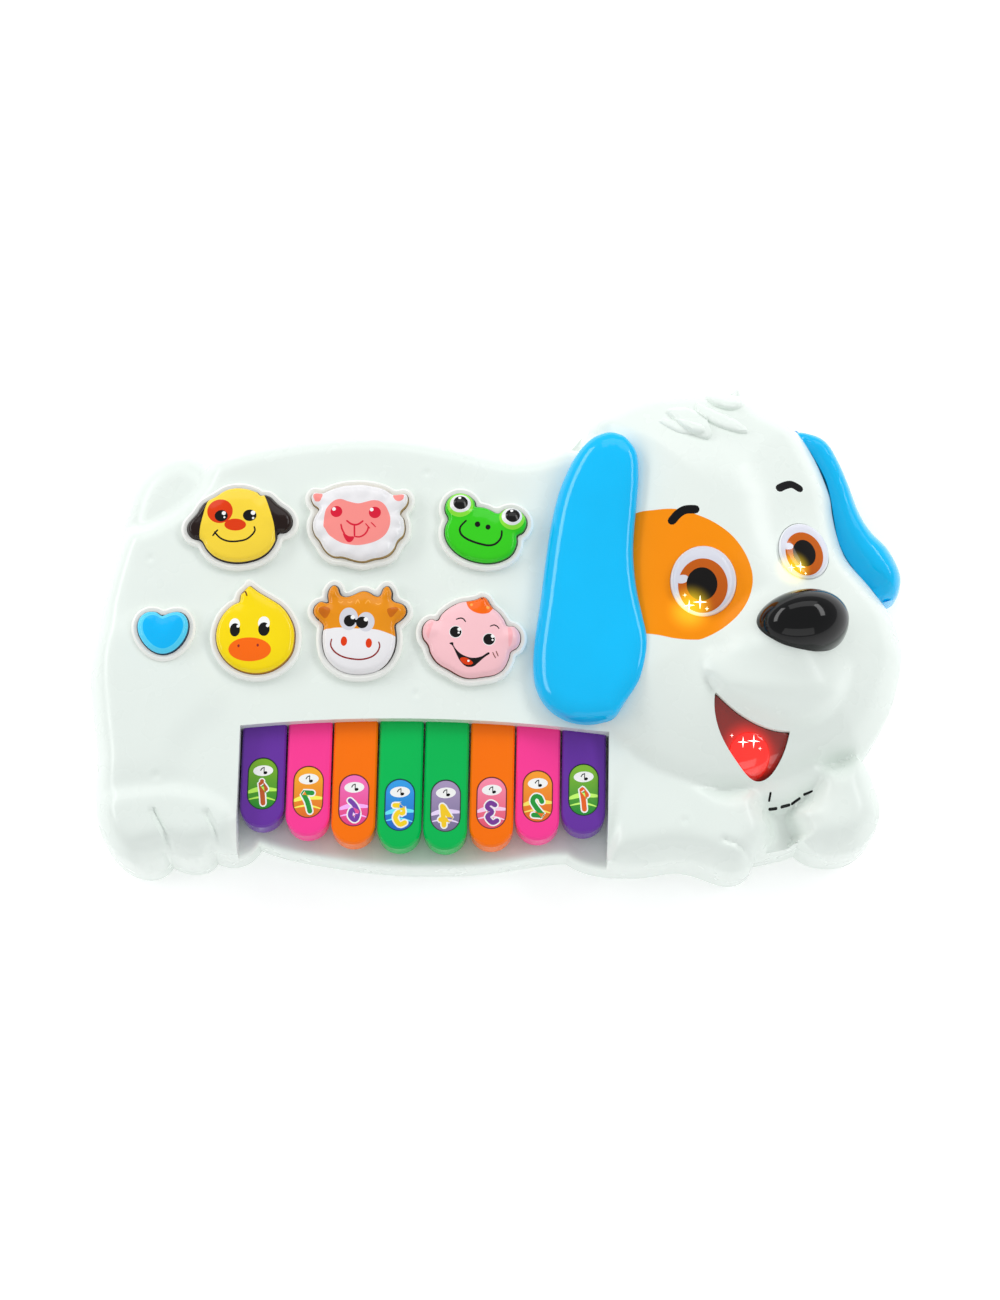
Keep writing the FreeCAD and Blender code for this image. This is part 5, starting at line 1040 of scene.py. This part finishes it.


# For each button: material slot, colour of its edge (a dark outline that is partly print and
# partly painted shade of the gap to the rim), colour of its face, width of the edge, how far the
# face lies off centre (which paints that shade thicker on the far side), bulges as (x, y, radius,
# rise), and the printed shapes
BUTTON_LOOKS = {
    "button_dog": ("button_yellow", "bronze", "bronze", 0.25, (0, 0), [], [
        area("yellow", (-115.6, 44.2), (-110, 49.6), (-103.6, 51), (-98.5, 49.6),
             (-94.7, 45.8), (-91.3, 37.3), (-89.6, 30.3), (-90, 22.5), (-95.4, 16.4),
             (-104.7, 14), (-114, 16.6), (-119.2, 25.6), (-118.2, 36.7)),
        spot("red", -111.6, 37.8, 5.1), spot("black", -111, 35.8, 2.6, 2.4),
        spot("black", -99.7, 36.2, 2.7, 2.4), spot("glint", -110, 36.9, 0.8),
        spot("glint", -109.7, 35.2, 0.4), spot("glint", -98.4, 37.3, 0.9),
        spot("glint", -98.3, 35.1, 0.45), spot("red", -105.3, 32.2, 4.3, 2.5),
        line("black", 0.75, (-113.3, 29), (-111.2, 26.7), (-108.4, 25.4), (-105.1, 25.2),
             (-101.1, 26), (-98.8, 27.7), (-97.4, 29.8), (-97.7, 31.4)),
        line("black", 0.7, (-114, 27.6), (-113.1, 28.8), (-112.2, 29.8))]),
    "button_sheep": ("button_white", "gilt", "white", 0.22, (-0.1, 0.05), [
        (-70.5, 38.5, 3.4, 0.8), (-72, 31.5, 3.4, 0.8), (-68.5, 25, 3.6, 0.8),
        (-63, 47, 4.0, 0.9), (-55.5, 48, 4.0, 0.9), (-48.5, 46.5, 3.6, 0.9),
        (-41.5, 36, 3.4, 0.8), (-42, 29.5, 3.2, 0.8), (-45.5, 23.5, 3.6, 0.8),
        (-52, 21.8, 3.2, 0.7), (-60.5, 22.5, 3.4, 0.7)], [
        area("flesh", (-70.3, 32.9), (-69.5, 39.3), (-66.6, 43), (-63.8, 43.8), (-61.1, 43),
             (-56.8, 42.1), (-53.2, 43), (-50.7, 43.6), (-47.7, 43), (-45.5, 40.8),
             (-43.8, 36.3), (-44.3, 31.8), (-46.6, 28.3), (-50.5, 26), (-56.2, 24.7),
             (-62.3, 25.4), (-67.3, 28.2), (-69.6, 31.3)),
        area("flesh", (-74.7, 46.1), (-71.2, 46.2), (-71.9, 43.3), (-73, 42.9), (-74.2, 43.4)),
        area("flesh", (-42.9, 46.4), (-39, 46.6), (-38.9, 44.7), (-40.5, 43.6), (-42.2, 44.2)),
        spot("crimson", -65.3, 38.5, 2.35), spot("crimson", -50, 38.4, 2.4),
        spot("glint", -66.3, 39.6, 0.75), spot("glint", -51.3, 39.6, 0.75),
        line("crimson", 0.8, (-61, 34.7), (-59.4, 33.5), (-57.7, 33.1), (-56.2, 33.5),
             (-54.7, 34.7)),
        line("crimson", 0.7, (-58, 33), (-57.9, 30.9), (-57.8, 28.4)),
        line("crimson", 0.7, (-63.3, 33.1), (-62.8, 31.1), (-61.8, 29.3)),
        area("crimson", (-62.3, 29.6), (-60, 28.3), (-58, 28.2), (-58.3, 26.8), (-59.5, 25.8),
             (-60.8, 26.2), (-62, 28)),
        line("crimson", 0.7, (-57.7, 28.2), (-55.7, 28.1), (-53.9, 29.1), (-52.8, 30.7),
             (-52.4, 32.3)),
        line("crimson", 0.5, (-53.5, 33.6), (-52.7, 32.7), (-51.9, 31.8)),
        line("crimson", 0.5, (-51.3, 34.1), (-50.4, 33.3), (-49.6, 32.4))]),
    "button_frog": ("button_green", "leaf", "green", 0.35, (-0.1, -0.2), [
        (-16.1, 42.6, 5.6, 1.6), (4.8, 37.7, 5.4, 1.6)], [
        spot("lime", -16.1, 42.5, 5.2), spot("lime", 4.6, 37.6, 5.1),
        spot("white", -16.1, 42.8, 4.2, 3.8), spot("white", 4.5, 38, 4.1, 3.9),
        spot("black", -16, 43, 2.9), spot("black", 4.8, 38.1, 2.9),
        spot("glint", -16.4, 45, 0.6), spot("glint", 4.4, 40.1, 0.6),
        spot("black", -9.1, 34.3, 1.1, 1.2), spot("black", -4.9, 33.2, 1.0, 1.1),
        line("black", 0.85, (-13.7, 35.7), (-15.6, 33.6), (-16.1, 31.8), (-15.3, 29.8),
             (-13.3, 28.2), (-10.6, 27), (-8, 26.2), (-4.8, 25.6), (-2.2, 26.1),
             (-0.3, 27.8), (0.5, 29.7), (0.6, 31.7))]),
    "button_duck": ("button_yellow", "ochre", "lemon", 0.28, (-0.1, -0.05), [], [
        spot("glint", -103.8, -9.2, 2.1, 2.7), spot("glint", -92.3, -8.3, 2.3, 2.7),
        spot("black", -103.6, -11.3, 2.0, 2.75), spot("black", -92.2, -10.8, 2.25, 2.8),
        spot("glint", -102.4, -9.8, 0.6), spot("glint", -90.8, -9.3, 0.65),
        spot("orange", -97.5, -19.1, 8.4, 4.8), spot("maroon", -101.9, -17.8, 0.45, 0.6),
        spot("maroon", -94.4, -17.4, 0.45, 0.6),
        line("umber", 0.6, (-101.6, 4.4), (-100.4, 5), (-99.5, 3.1))]),
    "button_cow": ("button_tan", "bronze", "tan", 0.3, (-0.1, -0.4), [
        (-70, -2, 2.6, 0.7), (-40, -1.8, 2.6, 0.7), (-65.2, 5, 2.2, 0.7),
        (-44.6, 5, 2.2, 0.7)], [
        area("white", (-72, -10.9), (-66.1, -9.8), (-62.5, -9.5), (-56.8, -9.8), (-49.9, -9.9),
             (-46, -10.5), (-40.2, -12.4), (-37, -14), (-38.5, -22), (-42.5, -29), (-49.9, -32),
             (-57.4, -32), (-66, -30), (-72, -23), (-74, -15.8)),
        area("rust", (-70.9, -1.7), (-69.2, -0.9), (-67.2, -1.2), (-66.3, -2.3), (-67.2, -4.6),
             (-68.4, -5.6), (-69.9, -4.4), (-70.9, -3)),
        area("rust", (-44, -1.6), (-42.6, -0.8), (-40.6, -0.6), (-39.5, -1.5), (-40.8, -3.3),
             (-42.5, -4.8), (-43.6, -3.4)),
        spot("pale", -59, -5.9, 3.7, 4.7), spot("pale", -52.2, -7, 3.4, 4.0),
        spot("black", -58.6, -6.7, 2.3, 2.4), spot("black", -53.7, -7.3, 2.4),
        spot("black", -56.2, -6.8, 0.8, 0.6), spot("glint", -57.4, -5.2, 0.85),
        spot("glint", -52.2, -6, 0.85), spot("red", -60.6, -15.1, 1.25, 1.95),
        spot("red", -50.8, -15.7, 1.25, 1.95),
        line("maroon", 0.65, (-65.5, -14.3), (-65.8, -16), (-65.4, -17.6), (-63.7, -19.7),
             (-60.7, -21.4), (-57, -22.2), (-53.4, -22.3), (-49.8, -21.3), (-47.5, -19.4),
             (-46.5, -16.9), (-46.9, -15.2)),
        line("amber", 0.45, (-63.3, 1.3), (-62.4, 0.8), (-61.6, 1.4)),
        line("amber", 0.45, (-59.6, 1.3), (-58.7, 0.9), (-58, 1.5)),
        line("amber", 0.45, (-56.5, 0.5), (-55.7, 2.2), (-55, 0.8)),
        line("amber", 0.45, (-52.6, 0.7), (-51.6, 2.1), (-50.8, 1.1)),
        line("amber", 0.45, (-48.5, 0.8), (-47.5, 0.4), (-46.6, 0.9))]),
    "button_baby": ("button_pink", "umber", "rose", 0.26, (0.12, -0.2), [
        (-26.4, -9.8, 3.0, 0.6), (5.2, -11.4, 3.0, 0.6)], [
        area("blush", (-28.6, -10.6), (-28.5, -8.7), (-27.4, -7), (-25.6, -6.2), (-26.2, -8.6),
             (-27, -11.5), (-27.4, -13)),
        area("blush", (3.7, -8), (4.9, -8.2), (5.7, -10.8), (5.3, -14.3), (4.2, -15.6),
             (4, -11.8)),
        area("orange", (-12.7, 3.6), (-10.6, 4.6), (-8.8, 6.1), (-7.5, 7), (-6.6, 6),
             (-5.2, 6.2), (-3.6, 4.6), (-1.6, 1.4), (-2.8, -0.8), (-3.9, -2.1), (-6.3, -2.7),
             (-9, -2.3), (-11.4, -0.8), (-12.6, 1.2)),
        spot("amber", -10.8, 1.1, 0.55), spot("amber", -4.3, 0.1, 0.7, 0.6),
        line("umber", 0.4, (-7.3, 4.9), (-6.7, 3.6), (-6.2, 4.4)),
        spot("glint", -16.8, -10.4, 2.55), spot("glint", -3.6, -13.2, 2.55),
        spot("black", -16.8, -10.4, 2.3), spot("black", -3.6, -13.2, 2.3),
        spot("glint", -15.4, -9.3, 0.7), spot("glint", -15.6, -10.7, 0.4),
        spot("glint", -2.2, -11.9, 0.7), spot("glint", -2.2, -13.4, 0.4),
        line("black", 0.55, (-16.6, -5.2), (-15.1, -4.7), (-13.9, -5), (-13, -6.1)),
        line("black", 0.5, (-3.2, -7.8), (-1.8, -7.2), (-0.6, -7.6), (0.2, -8.5)),
        area("black", (-19.2, -15.2), (-18.5, -14.7), (-17.6, -14.8), (-17.5, -15.9),
             (-16.3, -17.7), (-14.2, -19.5), (-11.2, -20.7), (-8.6, -20.8), (-6.2, -20.1),
             (-4.5, -18.9), (-3.6, -18.4), (-3.2, -19.1), (-3.9, -19.6), (-5.3, -20.6),
             (-7.7, -22.8), (-9.4, -24.2), (-11.5, -24.5), (-13.2, -23.8), (-15.1, -21.7),
             (-16.4, -19.2), (-17.7, -16.5), (-18.4, -15.7)),
        area("red", (-14.8, -21.1), (-13.3, -20.7), (-11.5, -21.3), (-9.7, -22.8),
             (-10.3, -23.5), (-11.8, -23.7), (-13.3, -23.2), (-14.5, -22.1)),
        spot("glint", -11.5, -22.1, 0.45),
        line("umber", 0.4, (-2, -18.5), (-1.5, -19.6), (-0.9, -20.6)),
        line("umber", 0.4, (-0.7, -18), (-0.3, -18.9), (0.1, -19.8))]),
    "button_heart": ("button_blue", "navy", "ice", 0.28, (-0.1, -0.1), [], [
        area("sky", (-132.3, -7), (-128.9, -5.6), (-126.2, -5.7), (-124.6, -7.4), (-124.1, -10),
             (-124.9, -13.2), (-127, -16.6), (-129.4, -18.5), (-132, -19.2), (-135, -18.2),
             (-137.6, -15.9), (-139.6, -12.6), (-140, -9.2), (-139, -6.9), (-137.2, -5.7),
             (-135, -5.8))]),
}


CAP_EDGE, EDGE_RISE, DOME_RISE, CAP_BOTTOM = 41.7, 2.4, 1.5, 37.0


def make_button(name):
    """A domed button with its printed face, standing in its rim."""
    slot, outline_and_gap_shade_ink, face_ink, edge, shift, bulges, prints = BUTTON_LOOKS[name]
    outline = cap_loop(name)
    inside_edge = moved(outline, -0.1)
    # the dark ring between face and outline is partly printed outline and partly painted shade of
    # the gap to the rim, made thicker on the far side by the shift; the side wall takes the same
    # colour
    face = even(moved(outline, -edge) + np.array(shift), 0.5)

    def height(x, y):
        inside = depth(x, y, outline)
        z = CAP_EDGE + EDGE_RISE * quarter(inside / 1.9) + DOME_RISE * half_wave(inside / 9)
        for bulge_x, bulge_y, radius, rise in bulges:
            z = z + rise * ease(1.15 - np.hypot(x - bulge_x, y - bulge_y) / radius)
        return z

    regions = [Region(face, ink(face_ink), within=inside_edge)]
    for region in prints:
        region.within = face
        regions.append(region)
    rows = [moved(outline, -step) for step in (0.08, 0.3, 0.65, 1.1, 1.6)]
    piece = relief(f"{name}_face", name, outline, height, level_at(CAP_BOTTOM),
                   ink(outline_and_gap_shade_ink), regions, rows, spacing=0.8)
    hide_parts(name)


# ---------------------------------------------------------------------------------------------
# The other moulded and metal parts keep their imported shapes
# ---------------------------------------------------------------------------------------------
def dress_frame_parts():
    """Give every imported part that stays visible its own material."""
    steel = metal("steel", (196, 196, 192))
    board = plastic("board_green", (18, 92, 48), 0.35, change=0.15, grain=500.0)
    chips = plastic("component_black", (24, 24, 26), 0.4, change=0.1)
    looks = {
        "rear_cover": WHITE,
        "hinge_rod": steel,
        "key_rail": plastic("rail_grey", (198, 200, 202), 0.4),
        "led_boards": board, "main_board": board, "key_board": board,
        "leds": glowing("led_clear", (240, 240, 230), (255, 230, 160), 0.4),
        "rubber_feet": plastic("foot_rubber", (58, 58, 60), 0.75, change=0.1, grain=600.0),
        "battery_door": WHITE,
        "battery_door_screw": steel, "case_screws": steel, "board_screws": steel,
        "speaker_screws": steel, "contact_springs": steel, "contact_plates": steel,
        "batteries": plastic("cell_wrap", (44, 62, 92), 0.3, coat=0.4, change=0.12),
        "key_domes": plastic("silicone", (150, 154, 160), 0.55),
        "button_domes": plastic("silicone_grey", (150, 154, 160), 0.55),
        "board_components": chips,
        "ribbon_cable": plastic("ribbon", (188, 190, 194), 0.5, change=0.1),
        "speaker_frame": steel,
        "speaker_cone": plastic("speaker_paper", (30, 30, 32), 0.85, change=0.2, grain=900.0),
        "speaker_magnet": plastic("ferrite", (52, 52, 54), 0.6, change=0.12),
        "power_switch_body": chips,
        "power_switch_cap": plastic("switch_black", (22, 22, 24), 0.35),
        "battery_leads": plastic("lead_red", (176, 20, 20), 0.4),
        "speaker_leads": plastic("lead_white", (214, 214, 208), 0.4),
    }
    for name, material in looks.items():
        mesh = NODES[name].data
        mesh.materials.clear()
        mesh.materials.append(material)


# ---------------------------------------------------------------------------------------------
# Floor and light
# ---------------------------------------------------------------------------------------------
def make_floor():
    """A wide pale floor."""
    mesh = bpy.data.meshes.new("floor")
    far = 6
    mesh.from_pydata([(-far, -far, 0), (far, -far, 0), (far, far, 0), (-far, far, 0)], [],
                     [(0, 1, 2, 3)])
    material, tree, principled = shader("floor_paper")
    tree.links.new(ramp(tree, noise(tree, 3.0), (0.93, 0.93, 0.93), (0.95, 0.95, 0.95)),
                   principled.inputs["Base Color"])
    principled.inputs["Roughness"].default_value = 0.9
    principled.inputs["Specular IOR Level"].default_value = 0.0
    principled.inputs["Emission Color"].default_value = (1, 1, 1, 1)
    principled.inputs["Emission Strength"].default_value = 0.31
    mesh.materials.append(material)
    floor = bpy.data.objects.new("floor", mesh)
    bpy.context.scene.collection.objects.link(floor)


def area_light(name, place, size, power):
    """A soft rectangular lamp, in metres, aimed at the toy's middle on the floor."""
    data = bpy.data.lights.new(name, "AREA")
    data.shape = "RECTANGLE"
    data.size, data.size_y = size
    data.energy = power
    lamp = bpy.data.objects.new(name, data)
    lamp.location = place
    lamp.rotation_euler = (-Vector(place)).to_track_quat("-Z", "Y").to_euler()
    bpy.context.scene.collection.objects.link(lamp)


def make_light():
    """A white surround with a soft box on each side, one beyond the toy and one before it."""
    world = bpy.data.worlds.new("surround")
    world.use_nodes = True
    background = world.node_tree.nodes["Background"]
    background.inputs["Color"].default_value = (0.97, 0.985, 1.0, 1)
    background.inputs["Strength"].default_value = 0.55
    bpy.context.scene.world = world
    for name, place, size, power in (("box_left", (-1.25, 0.45, 0.65), (1.5, 0.3), 7.5),
                                     ("box_right", (1.0, 0.45, 1.0), (1.3, 0.3), 6.5),
                                     ("box_far", (0.0, 1.3, 1.1), (1.8, 0.8), 6.0),
                                     ("box_near", (0.0, -1.8, 0.55), (2.2, 0.8), 5.0)):
        area_light(name, place, size, power)


make_camera()
make_floor()
make_light()
make_front_shell()
make_ears()
make_nose()
make_eye("left", *EYES["left"], (6.0, 6.7), (9.7, 10.9), (-0.4, -2.7), (-0.8, -2.3),
         (74.5, -3.0), [(74.2, -1.9, 2.2), (78.4, -0.7, 2.8), (72.5, 2.1, 0.9), (81.1, -3.2, 0.9)])
make_eye("right", *EYES["right"], (4.7, 5.7), (7.8, 9.2), (-0.1, -1.9), (-0.2, -1.9),
         (115.5, 15.5), [(114.7, 15.9, 1.5), (118.3, 16.6, 2.2), (120.4, 14.2, 0.7)])
make_mouth()
for number in range(1, 9):
    make_key(number)
for button in BUTTON_NAMES:
    make_button(button)
dress_frame_parts()

scene = bpy.context.scene
scene.view_settings.view_transform = "Standard"
